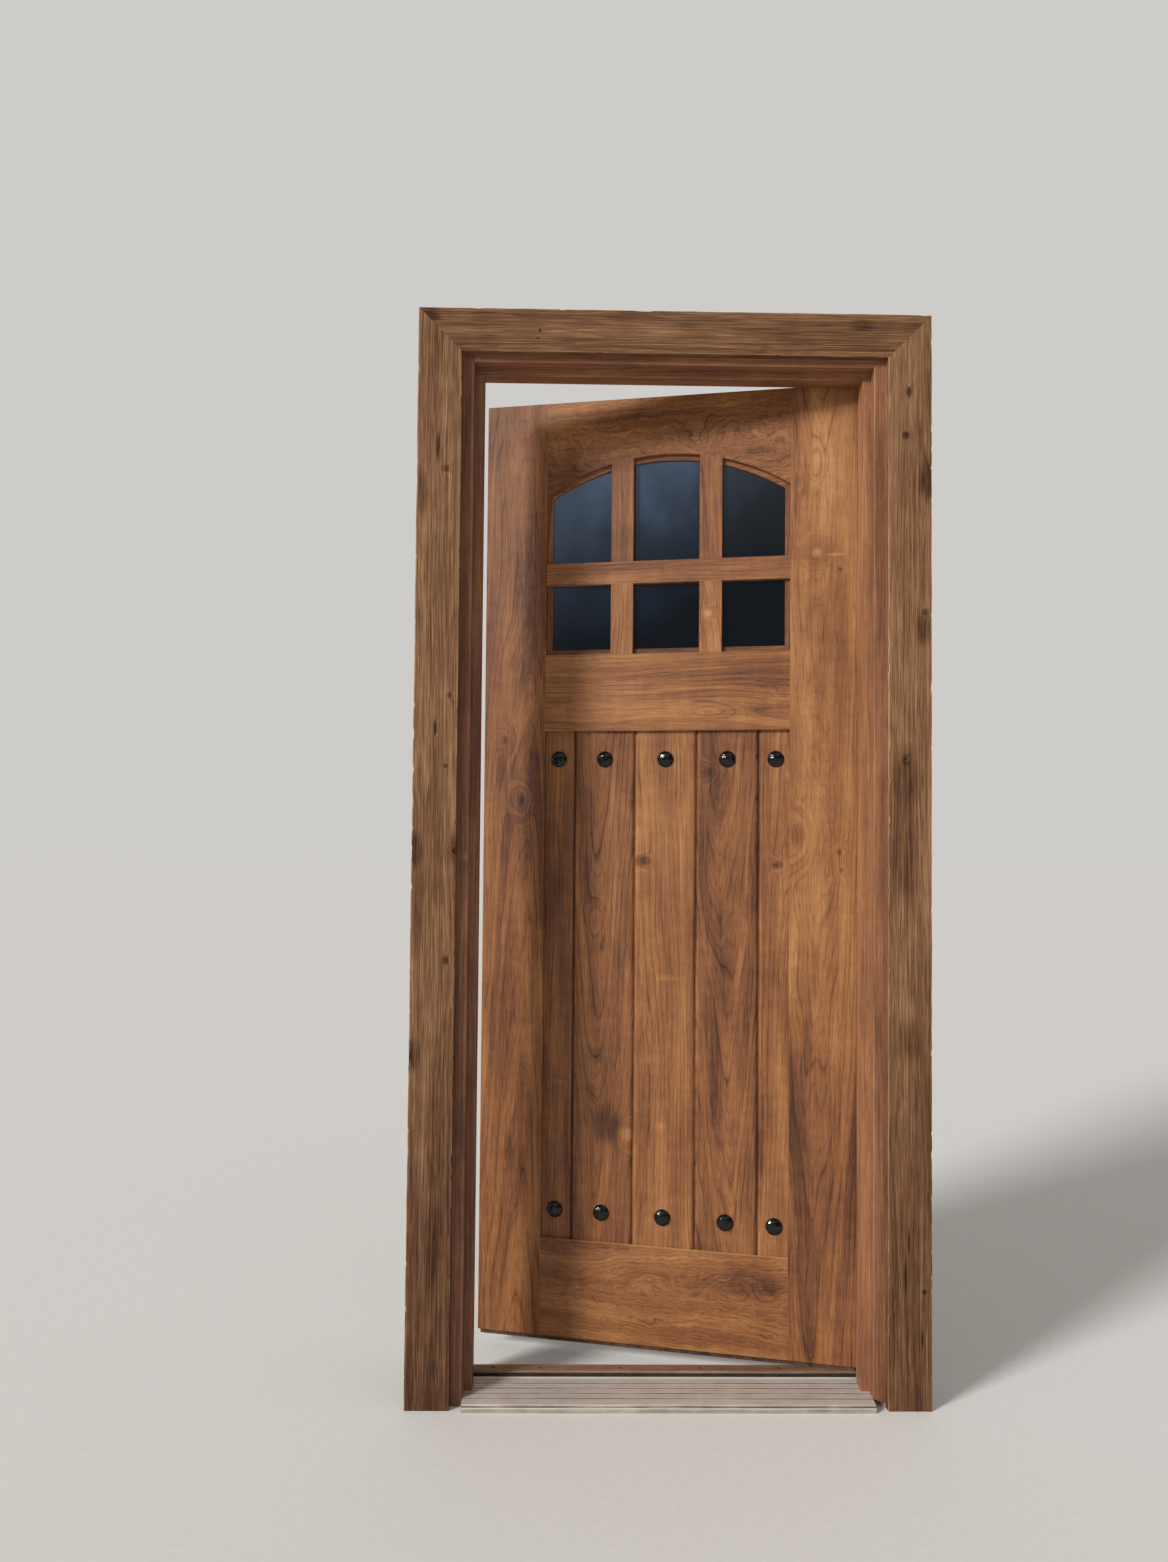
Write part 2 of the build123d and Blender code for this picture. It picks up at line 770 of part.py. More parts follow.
def side_bead(side):
    inner = side * (panel_half - bead_width)
    outer = side * panel_half
    return bead_ring() & block(min(inner, outer), max(inner, outer), leaf_front, leaf_back,
                               window_bottom, arch_crown)


def bottom_bead():
    half = panel_half - bead_width - bar_seat_gap
    return bead_ring() & block(-half, half, leaf_front, leaf_back, window_bottom, crossbar_bottom)


def arch_bead():
    half = panel_half - bead_width - bar_seat_gap
    return bead_ring() & block(-half, half, leaf_front, leaf_back, crossbar_top, arch_crown + over)


def indoors(solid):
    """The same piece on the leaf's indoor side."""
    return mirror(solid, about=Plane.XZ.offset(-leaf_middle))


def pane(front):
    return prism_y(window_face(glass_edge_gap), front, front + glass_thickness)


def glass_spacer():
    """The metal bar that holds the two panes apart all round."""
    front = glass_front + glass_thickness
    return (prism_y(window_face(glass_edge_gap), front, front + glass_space)
            - prism_y(window_face(glass_edge_gap + spacer_width), front - over, front + glass_space + over))


def sweep_fin_depths():
    return [leaf_front + sweep_fin_inset, leaf_back - sweep_fin_inset]


def door_sweep():
    """The seal under the leaf: a plate with two barbs in the kerfs and two fins over the cap."""
    half = half_leaf - sweep_end_gap
    bottom = cap_height + seal_clearance
    sweep = block(-half, half, leaf_front + sweep_setback, leaf_back - sweep_setback,
                  leaf_bottom - sweep_plate, leaf_bottom)
    for y in sweep_fin_depths():
        sweep += block(-half, half, y - fin_thickness / 2, y + fin_thickness / 2,
                       bottom, leaf_bottom + kerf_depth - kerf_end_gap)
    return sweep


# The two bodies as named pieces

def frame_pieces():
    pieces = {
        "casing_left": casing_leg(-1),
        "casing_right": casing_leg(1),
        "casing_head": casing_head(),
        "jamb_strike": strike_jamb(),
        "jamb_hinge": hinge_jamb(),
        "jamb_head": head_jamb(),
        "stop_left": side_stop(-1),
        "stop_right": side_stop(1),
        "stop_head": head_stop(),
        "weatherstrip_left": side_strip(-1),
        "weatherstrip_right": side_strip(1),
        "weatherstrip_head": head_strip(),
        "sill_tread": sill_tread(),
        "sill_core": sill_core(),
        "sill_cap": sill_cap(),
        "sill_gasket": sill_gasket(),
        "cap_screws": cap_screws(),
        "jamb_hinge_screws": hinge_screws(1),
    }
    plate = hinge_plate(1)
    pin = hinge_pin()
    for name, base in zip(("bottom", "middle", "top"), hinge_bases()):
        pieces["hinge_" + name + "_jamb_plate"] = Pos(0, 0, base) * plate
        pieces["hinge_" + name + "_pin"] = Pos(0, 0, base) * pin
    return pieces


def leaf_pieces():
    low, high = clavo_rows()
    nail = clavo()
    plate = hinge_plate(-1)
    pieces = {
        "stile_left": stile(-1),
        "stile_right": stile(1),
        "rail_bottom": bottom_rail(),
        "rail_lock": rail(panel_top, window_bottom),
        "rail_top": top_rail(),
        "glass_outer_pane": pane(glass_front),
        "glass_inner_pane": pane(glass_back - glass_thickness),
        "glass_spacer": glass_spacer(),
        "clavos_lower": clavo_row(nail, low),
        "clavos_upper": clavo_row(nail, high),
        "door_sweep": door_sweep(),
        "leaf_hinge_screws": hinge_screws(-1),
    }
    for index in range(plank_count):
        pieces["plank_" + str(index + 1)] = plank(index)
    glazing = {
        "crossbar": crossbar(),
        "upper_bars": upper_bars(),
        "lower_bars": lower_bars(),
        "bead_left": side_bead(-1),
        "bead_right": side_bead(1),
        "bead_bottom": bottom_bead(),
        "bead_arch": arch_bead(),
    }
    for name, shape in glazing.items():
        pieces["outer_" + name] = shape
        pieces["inner_" + name] = [indoors(s) for s in shape] if isinstance(shape, list) else indoors(shape)
    for name, base in zip(("bottom", "middle", "top"), hinge_bases()):
        pieces["hinge_" + name + "_leaf_plate"] = Pos(0, 0, base) * plate
    return pieces


def swung(solid):
    """The solid turned with the leaf about the hinge pins, from shut to ajar."""
    return Pos(axis_x, axis_y, 0) * Rot(0, 0, -ajar_angle) * Pos(-axis_x, -axis_y, 0) * solid


def write(name, shape):
    whole = Compound(children=shape) if isinstance(shape, list) else shape
    export_step(whole, "parts/" + name + ".step")


os.makedirs("parts", exist_ok=True)
for piece_name, piece in frame_pieces().items():
    write(piece_name, piece)
for piece_name, piece in leaf_pieces().items():
    write(piece_name, [swung(s) for s in piece] if isinstance(piece, list) else swung(piece))
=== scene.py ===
import math

import bpy
import numpy as np
from mathutils import Matrix, Vector


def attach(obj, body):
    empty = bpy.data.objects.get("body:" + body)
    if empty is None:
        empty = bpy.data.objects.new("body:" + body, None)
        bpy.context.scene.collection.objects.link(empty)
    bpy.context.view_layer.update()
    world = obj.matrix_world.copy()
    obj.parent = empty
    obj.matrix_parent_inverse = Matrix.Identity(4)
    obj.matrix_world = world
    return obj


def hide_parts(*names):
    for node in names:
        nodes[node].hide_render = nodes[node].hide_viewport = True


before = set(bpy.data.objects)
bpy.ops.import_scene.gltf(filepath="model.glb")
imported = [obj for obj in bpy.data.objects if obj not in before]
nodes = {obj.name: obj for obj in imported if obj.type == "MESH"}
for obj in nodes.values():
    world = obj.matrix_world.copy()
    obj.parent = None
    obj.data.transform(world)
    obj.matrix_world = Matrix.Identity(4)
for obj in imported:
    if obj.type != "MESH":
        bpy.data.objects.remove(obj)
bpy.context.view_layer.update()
print("frame loaded:", len(nodes), "nodes")

hinge = Vector((0.408, 0.126, 0.0))  # the pins' axis, which the leaf turns on, metres
ajar = math.radians(13)  # how far the leaf stands open at rest
closeLeaf = Matrix.Translation(hinge) @ Matrix.Rotation(ajar, 4, "Z") @ Matrix.Translation(-hinge)


def linear(hexColour):
    # sRGB hex to the linear colour that shaders take
    parts = [int(hexColour[i:i + 2], 16) / 255 for i in (1, 3, 5)]
    return [p / 12.92 if p <= 0.04045 else ((p + 0.055) / 1.055) ** 2.4 for p in parts] + [1.0]


def add(tree, kind, links=None, **settings):
    # one node, with its settings, and its inputs linked or set
    made = tree.nodes.new(kind)
    for name, value in settings.items():
        setattr(made, name, value)
    for socket, value in (links or {}).items():
        if isinstance(value, bpy.types.NodeSocket):
            tree.links.new(value, made.inputs[socket])
        else:
            made.inputs[socket].default_value = value
    return made


def newMaterial(name, **surface):
    # a material with one shader, and what is the same all over set on the shader's own sockets
    made = bpy.data.materials.new(name)
    made.use_nodes = True
    tree = made.node_tree
    tree.nodes.clear()
    shader = add(tree, "ShaderNodeBsdfPrincipled")
    add(tree, "ShaderNodeOutputMaterial", {"Surface": shader.outputs["BSDF"]})
    for socket, value in surface.items():
        shader.inputs[socket].default_value = value
    return made, tree, shader


def colourFrom(tree, shader, level, tones):
    # the surface's colour, from a level and the (level, hex) tones it runs through
    colours = add(tree, "ShaderNodeValToRGB", {"Fac": level})
    stops = colours.color_ramp.elements
    while len(stops) < len(tones):
        stops.new(0.5)
    for stop, (place, hexColour) in zip(stops, tones):
        stop.position = place
        stop.color = linear(hexColour)
    tree.links.new(colours.outputs["Color"], shader.inputs["Base Color"])


def roughnessAndRelief(tree, shader, level, rough, height, relief):
    # the surface's roughness, from where it is darkest to lightest, and its bumps, relief in mm
    roughness = add(tree, "ShaderNodeMapRange", {"Value": level, "To Min": rough[0], "To Max": rough[1]})
    tree.links.new(roughness.outputs[0], shader.inputs["Roughness"])
    bump = add(tree, "ShaderNodeBump", {"Height": height, "Distance": relief / 1000})
    tree.links.new(bump.outputs[0], shader.inputs["Normal"])


def grain(tree, place, cell, detail=1.0, rough=0.5):
    # noise in cells of so many mm each way, such as ones drawn out along a board
    sized = add(tree, "ShaderNodeVectorMath", {0: place, 1: [1000 / mm for mm in cell]}, operation="MULTIPLY")
    return add(tree, "ShaderNodeTexNoise", {
        "Vector": sized.outputs[0], "Scale": 1.0, "Detail": detail, "Roughness": rough})


def slantWearAndHighlight(tree, facing, amount):
    # arrises, bevels and rounded edges lie at a slant: they rub paler, and on the wood this paleness is also
    # a painted highlight where light catches the edges
    begins, full = 0.95, 0.7  # from nearly square on to well slanted
    square = add(tree, "ShaderNodeVectorMath", {0: facing, 1: facing}, operation="MULTIPLY").outputs[0]
    squareness = add(tree, "ShaderNodeVectorMath", {0: square, 1: square}, operation="DOT_PRODUCT")
    return add(tree, "ShaderNodeMapRange", {
        "Value": squareness.outputs["Value"], "From Min": begins, "From Max": full,
        "To Min": 0, "To Max": amount}).outputs[0]


def dress(material, *names):
    # CAD nodes that only need a better material
    for name in names:
        slots = nodes[name].data.materials
        slots.clear()
        slots.append(material)


# Solid wood: rings round a pith that lies behind or beside the board, pushed about by slow drift and
# by hills at the knots, so that each face, edge and end shows its own cut.
# Patches (streak, fleck, blotch, glow) are cells mm across and along, and how strong; ring and relief are mm.

leafFinish = {  # knotty alder, sanded, stained reddish brown, satin lacquer: fine lines, soft sheen
    "tones": ((0.0, "#281208"), (0.25, "#5c351d"), (0.5, "#8c5832"), (0.75, "#b07a4a"), (1.0, "#d6a672")),
    "ring": 8.5, "line": -0.5, "fineLine": -0.18, "ringTone": 0.1, "drift": (85, 560, 40),
    "streak": (2.6, 190, 0.2), "fleck": (1.6, 24, 0.13), "blotch": (48, 320, 0.36), "glow": (60, 20, 0.07),
    "ridge": 0.05, "crack": 0.07, "relief": 0.15, "rough": (0.55, 0.36), "gloss": 0.4,
    "edge": 0.1, "dust": 0.42,
}
jambFinish = {  # smooth pine, stained a redder brown, satin: plain straight grain, tan at its edges, partly as a painted highlight
    "tones": ((0.0, "#2a140c"), (0.25, "#5c3623"), (0.5, "#8a5b3e"), (0.75, "#ae7b54"), (1.0, "#d2a27a")),
    "ring": 7.0, "line": -0.24, "fineLine": -0.12, "ringTone": 0.1, "drift": (90, 900, 28),
    "streak": (2.6, 200, 0.26), "fleck": (1.6, 22, 0.12), "blotch": (40, 300, 0.26), "glow": (40, 30, 0.06),
    "ridge": 0.08, "crack": 0.08, "relief": 0.15, "rough": (0.55, 0.4), "gloss": 0.4,
    "edge": 0.07, "dust": 0.06,
}
capFinish = dict(jambFinish, tones=(  # the same pine under a film of dust
    (0.0, "#2e1d14"), (0.25, "#5a3f2f"), (0.5, "#81614c"), (0.75, "#a6886f"), (1.0, "#cbb6a0")))
casingFinish = {  # old fir, wire-brushed, stained and weathered: pale ridges, dark furrows, dull
    "tones": ((0.0, "#20130a"), (0.25, "#4d301d"), (0.5, "#795439"), (0.75, "#a27a56"), (1.0, "#d0ac86")),
    "ring": 4.4, "line": 0.14, "fineLine": 0.05, "ringTone": 0.1, "drift": (70, 800, 24),
    "streak": (2.6, 420, 0.2), "fleck": (1.4, 50, 0.2), "blotch": (50, 420, 0.2), "glow": (40, 40, 0.06),
    "ridge": 0.15, "crack": 0.12, "relief": 0.3, "rough": (0.85, 0.62), "gloss": 0.22,
    "edge": 0.26, "dust": 0.1,
}
figure = {  # what the wood of all the boards shares
    "apart": (0.37, 0.53, 0.71),  # metres of wood between one board and the next
    "curl": (26, 26, 34),  # cells of curly figure, mm
    "lineCurve": ((0.08, 0.2), (0.26, 0.0), (0.9, 0.12)),  # dark all at once at a ring's end, then fading
    "weakestRing": 0.3, "fineRings": 3.17,  # fine lines to a ring
    "fade": (34, 34, 110), "fadeFrom": (0.34, 0.58), "fadeTo": (0.15, 1.1),  # from nearly lost to strong
    "patches": {"streak": 3.0, "fleck": 1.0, "blotch": 2.0, "glow": 1.0},  # how detailed
    "threads": {  # hard-edged, pale late wood and dark pores or checks: cells mm, and where they start
        "ridge": ((1.5, 1.5, 150), (0.54, 0.6), 1), "crack": ((1.7, 1.7, 70), (0.6, 0.66), -1)},
    "through": 0.25,  # how little a knot shrinks through the board
    "dustAndTopLightOn": (0.8, 0.95),  # from how level a face has to lie to take dust and a painted top light
    "jointWall": (1, 5),  # how far in from a plank's face the painted shade of its joint begins, and is darkest, mm
}


def boardFrame(along, seed):
    # from the shut door's place to a board's own (across, through, along), each in its own part of the wood
    turn = Matrix.Rotation(math.radians(90), 4, "Y") if along == "x" else Matrix.Identity(4)
    return Matrix.Translation(Vector(figure["apart"]) * seed) @ turn


def push(tree, moved, place, cell, reach, detail):
    # a place moved across and through the wood by noise, by half of reach mm at most
    noise = grain(tree, place, cell, detail)
    centred = add(tree, "ShaderNodeVectorMath", {0: noise.outputs["Color"], 1: (0.5, 0.5, 0.5)},
                  operation="SUBTRACT")
    return add(tree, "ShaderNodeVectorMath", {
        0: centred.outputs[0], 1: (reach / 1000, reach / 1000, 0), 2: moved},
        operation="MULTIPLY_ADD").outputs[0]


def fromPith(tree, moved, heart, taper):
    # how far out in the trunk a place lies, rising or falling along the board as the trunk tapers
    away = add(tree, "ShaderNodeVectorMath", {0: moved, 1: heart}, operation="SUBTRACT").outputs[0]
    flat = add(tree, "ShaderNodeVectorMath", {0: away, 1: (1, 1, 0)}, operation="MULTIPLY").outputs[0]
    radius = add(tree, "ShaderNodeVectorMath", {0: flat}, operation="LENGTH")
    rise = add(tree, "ShaderNodeVectorMath", {0: moved, 1: (0, 0, taper)}, operation="DOT_PRODUCT")
    return add(tree, "ShaderNodeMath", {0: radius.outputs["Value"], 1: rise.outputs["Value"]}).outputs[0]


def knotsAndStains(tree, moved, out, marks, board, depth, spacing):
    # a mark: x, z, a knot's reach mm, rings it lifts, dark core mm, how dark, how drawn out along the board
    shade = None
    for x, z, reach, hill, core, dark, stretch in marks:
        at = board @ Vector((x / 1000, depth / 1000, z / 1000))
        # a pale patch stays near its face, and a knot goes through
        through = 1 if dark < 0 and not hill else figure["through"]
        away = add(tree, "ShaderNodeVectorMath", {0: moved, 1: at}, operation="SUBTRACT").outputs[0]
        away = add(tree, "ShaderNodeVectorMath", {0: away, 1: (1, through, 1 / stretch)},
                   operation="MULTIPLY")
        away = add(tree, "ShaderNodeVectorMath", {0: away.outputs[0]}, operation="LENGTH").outputs["Value"]
        if hill:
            rising = add(tree, "ShaderNodeMapRange", {
                "Value": away, "From Min": reach / 1000, "From Max": 0,
                "To Min": 0, "To Max": hill * spacing}, interpolation_type="SMOOTHERSTEP")
            out = add(tree, "ShaderNodeMath", {0: out, 1: rising.outputs[0]}).outputs[0]
        if dark:
            spot = add(tree, "ShaderNodeMapRange", {
                "Value": away, "From Min": core / 1000, "From Max": core / 4000,
                "To Min": 0, "To Max": dark}, interpolation_type="SMOOTHSTEP").outputs[0]
            shade = spot if shade is None else add(tree, "ShaderNodeMath", {0: shade, 1: spot}).outputs[0]
    return out, shade


def ringLines(tree, moved, out, spacing):
    # the line at each ring's end, the fine ones between, and a chance value for each ring
    count = add(tree, "ShaderNodeMath", {0: out, 1: spacing}, operation="DIVIDE").outputs[0]
    whole = add(tree, "ShaderNodeMath", {0: count}, operation="FLOOR").outputs[0]
    chance = add(tree, "ShaderNodeTexWhiteNoise", {"W": whole}, noise_dimensions="1D").outputs["Value"]
    fine = add(tree, "ShaderNodeMath", {0: count, 1: figure["fineRings"]}, operation="MULTIPLY").outputs[0]
    lines = []
    for rings in (count, fine):
        part = add(tree, "ShaderNodeMath", {0: rings}, operation="FRACT").outputs[0]
        curve = add(tree, "ShaderNodeFloatCurve", {"Value": part})
        points = curve.mapping.curves[0].points
        points[0].location, points[-1].location = (0, 1), (1, 1)
        for at in figure["lineCurve"]:
            points.new(*at)
        curve.mapping.update()
        lines.append(curve.outputs[0])
    # a ring shows strongly here, and is nearly lost there
    strength = add(tree, "ShaderNodeMapRange", {
        "Value": chance, "To Min": figure["weakestRing"], "To Max": 1.0}).outputs[0]
    (low, high), (lost, strong) = figure["fadeFrom"], figure["fadeTo"]
    fade = add(tree, "ShaderNodeMapRange", {
        "Value": grain(tree, moved, figure["fade"]).outputs[0], "From Min": low, "From Max": high,
        "To Min": lost, "To Max": strong}).outputs[0]
    strength = add(tree, "ShaderNodeMath", {0: strength, 1: fade}, operation="MULTIPLY").outputs[0]
    line = add(tree, "ShaderNodeMath", {0: lines[0], 1: strength}, operation="MULTIPLY").outputs[0]
    return line, lines[1], chance


def stainLevel(tree, moved, finish, start, line, fineLine, chance):
    # everything that lightens or darkens adds to one level, and the stain's colours follow it
    chance = add(tree, "ShaderNodeMath", {0: chance, 1: 0.5}, operation="SUBTRACT").outputs[0]
    level = start
    for source, key in ((line, "line"), (fineLine, "fineLine"), (chance, "ringTone")):
        level = add(tree, "ShaderNodeMath", {0: source, 1: finish[key], 2: level},
                    operation="MULTIPLY_ADD").outputs[0]
    for key, detail in figure["patches"].items():
        across, along, amount = finish[key]
        patch = grain(tree, moved, (across, across, along), detail)
        patch = add(tree, "ShaderNodeMath", {0: patch.outputs[0], 1: 0.5}, operation="SUBTRACT").outputs[0]
        level = add(tree, "ShaderNodeMath", {0: patch, 1: 2 * amount, 2: level},
                    operation="MULTIPLY_ADD").outputs[0]
    for key, (cell, (low, high), sign) in figure["threads"].items():
        thread = add(tree, "ShaderNodeMapRange", {
            "Value": grain(tree, moved, cell).outputs[0], "From Min": low, "From Max": high,
            "To Min": 0, "To Max": sign * finish[key]}).outputs[0]
        level = add(tree, "ShaderNodeMath", {0: level, 1: thread}).outputs[0]
    return level


def jointShade(tree, place, board, groove):
    # painted shade in the V joints between the planks, further in than their faces
    low, high, amount = groove
    begins, darkest = figure["jointWall"]
    half = (high - low) / 2
    centre = (board @ Vector((0, (low + high) / 2000, 0))).y
    through = add(tree, "ShaderNodeVectorMath", {0: place, 1: (0, 1, 0)}, operation="DOT_PRODUCT")
    through = add(tree, "ShaderNodeMath", {0: through.outputs["Value"], 1: centre}, operation="SUBTRACT")
    through = add(tree, "ShaderNodeMath", {0: through.outputs[0]}, operation="ABSOLUTE").outputs[0]
    return add(tree, "ShaderNodeMapRange", {
        "Value": through, "From Min": (half - darkest) / 1000, "From Max": (half - begins) / 1000,
        "To Min": amount, "To Max": 0}).outputs[0]


def woodBoard(name, finish, along="z", seed=0, middle=(0, 0), pith=(0, 40), taper=0.04, curl=0.0, ring=None,
              tone=0.0, marks=(), onLeaf=True, depth=94, furrow=0.0, groove=None):
    # middle: the board's x and z, depth: where its figure is set through the door, from the casing's back
    # pith: across from the middle and behind it, all mm
    made, tree, shader = newMaterial(name, **{"Specular IOR Level": finish["gloss"]})
    board = boardFrame(along, seed)
    toBoard = board @ closeLeaf if onLeaf else board
    place = add(tree, "ShaderNodeMapping", {
        "Vector": add(tree, "ShaderNodeTexCoord").outputs["Object"],
        "Location": toBoard.translation, "Rotation": toBoard.to_euler()}).outputs[0]
    across, length, reach = finish["drift"]
    moved = push(tree, place, place, (across, across, length), reach, 2.0)
    if curl:
        moved = push(tree, moved, place, figure["curl"], curl, 1.0)

    heart = board @ Vector((middle[0] / 1000, depth / 1000, middle[1] / 1000))
    heart = Vector((heart.x + pith[0] / 1000, heart.y + pith[1] / 1000, 0))
    spacing = (ring or finish["ring"]) / 1000
    out = fromPith(tree, moved, heart, taper)
    out, shade = knotsAndStains(tree, moved, out, marks, board, depth, spacing)
    level = stainLevel(tree, moved, finish, 0.5 + tone, *ringLines(tree, moved, out, spacing))
    if furrow:  # darker where the brush cut into the mesh
        cut = add(tree, "ShaderNodeAttribute", attribute_name="furrow").outputs["Fac"]
        level = add(tree, "ShaderNodeMath", {0: cut, 1: -furrow, 2: level},
                    operation="MULTIPLY_ADD").outputs[0]
    # painted shade in the planks' V joints
    if groove:
        level = add(tree, "ShaderNodeMath", {0: level, 1: jointShade(tree, place, board, groove)},
                    operation="SUBTRACT").outputs[0]
    if shade is not None:
        level = add(tree, "ShaderNodeMath", {0: level, 1: shade}, operation="SUBTRACT").outputs[0]
    height = level

    normal = add(tree, "ShaderNodeTexCoord").outputs["Normal"]
    turned = add(tree, "ShaderNodeMapping", {"Vector": normal, "Rotation": toBoard.to_euler()},
                 vector_type="NORMAL").outputs[0]
    # faces pointing up turn paler: dust, and a painted highlight on tops where light falls
    upward = add(tree, "ShaderNodeVectorMath", {0: normal, 1: (0, 0, 1)}, operation="DOT_PRODUCT")
    low, high = figure["dustAndTopLightOn"]
    dusty = add(tree, "ShaderNodeMapRange", {
        "Value": upward.outputs["Value"], "From Min": low, "From Max": high,
        "To Min": 0, "To Max": finish["dust"]}).outputs[0]
    # slanted edges paler, as rubbed wear with a painted highlight; upward faces paler, as dust with a painted
    # top light
    for paler in (slantWearAndHighlight(tree, turned, finish["edge"]), dusty):
        level = add(tree, "ShaderNodeMath", {0: level, 1: paler}).outputs[0]
    colourFrom(tree, shader, level, finish["tones"])
    roughnessAndRelief(tree, shader, level, finish["rough"], height, finish["relief"])
    return made


leafBoards = {
    "stile_left": dict(seed=1, middle=(-337, 1070), pith=(20, 45), taper=0.045, tone=-0.03, marks=(
        (-322, 1206, 46, 3.6, 14, 0.3, 1.6), (-358, 1339, 36, 2.6, 12, 0.25, 1.5))),
    "stile_right": dict(seed=2, middle=(337, 1070), pith=(-18, 48), taper=-0.035, tone=0.11, marks=(
        (337, 300, 0, 0, 700, 0.26, 1.0), (318, 1931, 26, 1.7, 14, -0.1, 3.0),
        (320, 1735, 46, 4.4, 14, -0.22, 1.2), (358, 1729, 0, 0, 38, -0.34, 0.14),
        (330, 1735, 0, 0, 60, 0.1, 0.8), (368, 1697, 13, 1.4, 9, 0.4, 1.1),
        (287, 1136, 80, 4.6, 22, 0.2, 1.7), (367, 1101, 34, 2.6, 9, 0.4, 1.3),
        (372, 1064, 26, 1.8, 8, 0.35, 1.2), (304, 1220, 16, 1.4, 8, 0.2, 1.4))),
    "rail_top": dict(seed=3, along="x", middle=(0, 1990), pith=(-20, 30), taper=0.03, curl=22, marks=(
        (185, 2020, 20, 1.6, 0, 0, 1.8), (231, 2018, 20, 1.6, 0, 0, 1.8), (60, 1990, 70, 3.0, 0, 0, 1.2),
        (-215, 1975, 50, 2.6, 0, 0, 1.2))),
    "rail_lock": dict(seed=4, along="x", middle=(96, 1440), pith=(-44, 34), taper=0.02, tone=0.05, marks=(
        (96, 1401, 34, 2.4, 0, 0, 3.0), (255, 1442, 28, 1.8, 9, 0.2, 1.4))),
    "rail_bottom": dict(
        seed=5, along="x", middle=(0, 160), pith=(4, 26), taper=0.045, curl=15, ring=6.5, tone=0.03, marks=(
            (58, 182, 44, 3.0, 7, 0.2, 2.2), (236, 178, 46, 3.0, 10, 0.16, 1.8),
            (-170, 196, 60, 2.4, 0, 0, 2.4), (120, 120, 70, 2.2, 0, 0, 3.0),
            (198, 205, 0, 0, 60, 0.1, 1.5), (-210, 190, 0, 0, 60, 0.12, 1.6))),
    "plank_1": dict(seed=6, middle=(-232, 800), pith=(90, 30), taper=0.02, tone=-0.04, marks=(
        (-232, 590, 0, 0, 34, -0.1, 0.25),)),
    "plank_2": dict(seed=7, middle=(-134, 800), pith=(-12, 40), taper=-0.05, tone=-0.05, marks=(
        (-82, 485, 50, 4.4, 24, -0.15, 1.2), (-125, 507, 0, 0, 50, 0.2, 1.2),
        (-148, 945, 26, 1.8, 0, 0, 2.6))),
    "plank_3": dict(seed=8, middle=(0, 800), pith=(-70, 36), taper=0.03, tone=0.05, marks=(
        (-50, 1076, 30, 2.0, 20, 0.3, 0.9), (-46, 1054, 0, 0, 24, -0.13, 0.3),
        (1, 824, 0, 0, 34, -0.12, 0.35), (-10, 507, 22, 1.6, 24, -0.07, 0.5))),
    "plank_4": dict(seed=9, middle=(134, 800), pith=(-4, 42), taper=-0.07, tone=-0.06, marks=(
        (95, 1270, 40, 2.6, 14, 0.16, 1.0),)),
    "plank_5": dict(seed=10, middle=(232, 800), pith=(60, 34), taper=0.03, tone=0.02, marks=(
        (250, 1072, 34, 2.6, 14, 0.24, 0.8), (240, 1060, 0, 0, 22, -0.12, 0.3))),
    "outer_crossbar": dict(seed=11, along="x", middle=(0, 1706), pith=(60, 30), taper=0.02, tone=0.04),
    "outer_upper_bars": dict(seed=12, middle=(0, 1830), pith=(70, 30), taper=0.02, tone=-0.02),
    "outer_lower_bars": dict(seed=13, middle=(89, 1604), pith=(-10, 30), taper=0.05, tone=0.06, marks=(
        (92, 1612, 34, 3.0, 22, -0.16, 0.7),)),
    # the outdoor beads are toned darker: painted shade round the glass
    "outer_bead_left": dict(seed=14, middle=(-260, 1700), pith=(50, 30), tone=-0.1),
    "outer_bead_right": dict(seed=15, middle=(260, 1700), pith=(50, 30), tone=-0.1),
    "outer_bead_bottom": dict(seed=16, along="x", middle=(0, 1530), pith=(50, 30), tone=-0.1),
    "outer_bead_arch": dict(seed=17, along="x", middle=(0, 1960), pith=(60, 30), tone=-0.1),
    "inner_crossbar": dict(seed=18, along="x", middle=(0, 1706), pith=(60, 30)),
    "inner_upper_bars": dict(seed=19, middle=(0, 1830), pith=(60, 30), tone=0.02),
    "inner_lower_bars": dict(seed=20, middle=(0, 1604), pith=(60, 30)),
    "inner_bead_left": dict(seed=21, middle=(-260, 1700), pith=(50, 30)),
    "inner_bead_right": dict(seed=22, middle=(260, 1700), pith=(50, 30)),
    "inner_bead_bottom": dict(seed=23, along="x", middle=(0, 1530), pith=(50, 30)),
    "inner_bead_arch": dict(seed=24, along="x", middle=(0, 1960), pith=(60, 30)),
}
plankJoint = (81.5, 106, 0.42)  # the planks' outdoor and indoor faces, mm, and how dark the painted shade in their joints is
for part, settings in leafBoards.items():
    groove = plankJoint if part.startswith("plank") else None
    dress(woodBoard("stainedAlder_" + part, leafFinish, groove=groove, **settings), part)
print("leaf dressed in stained alder")

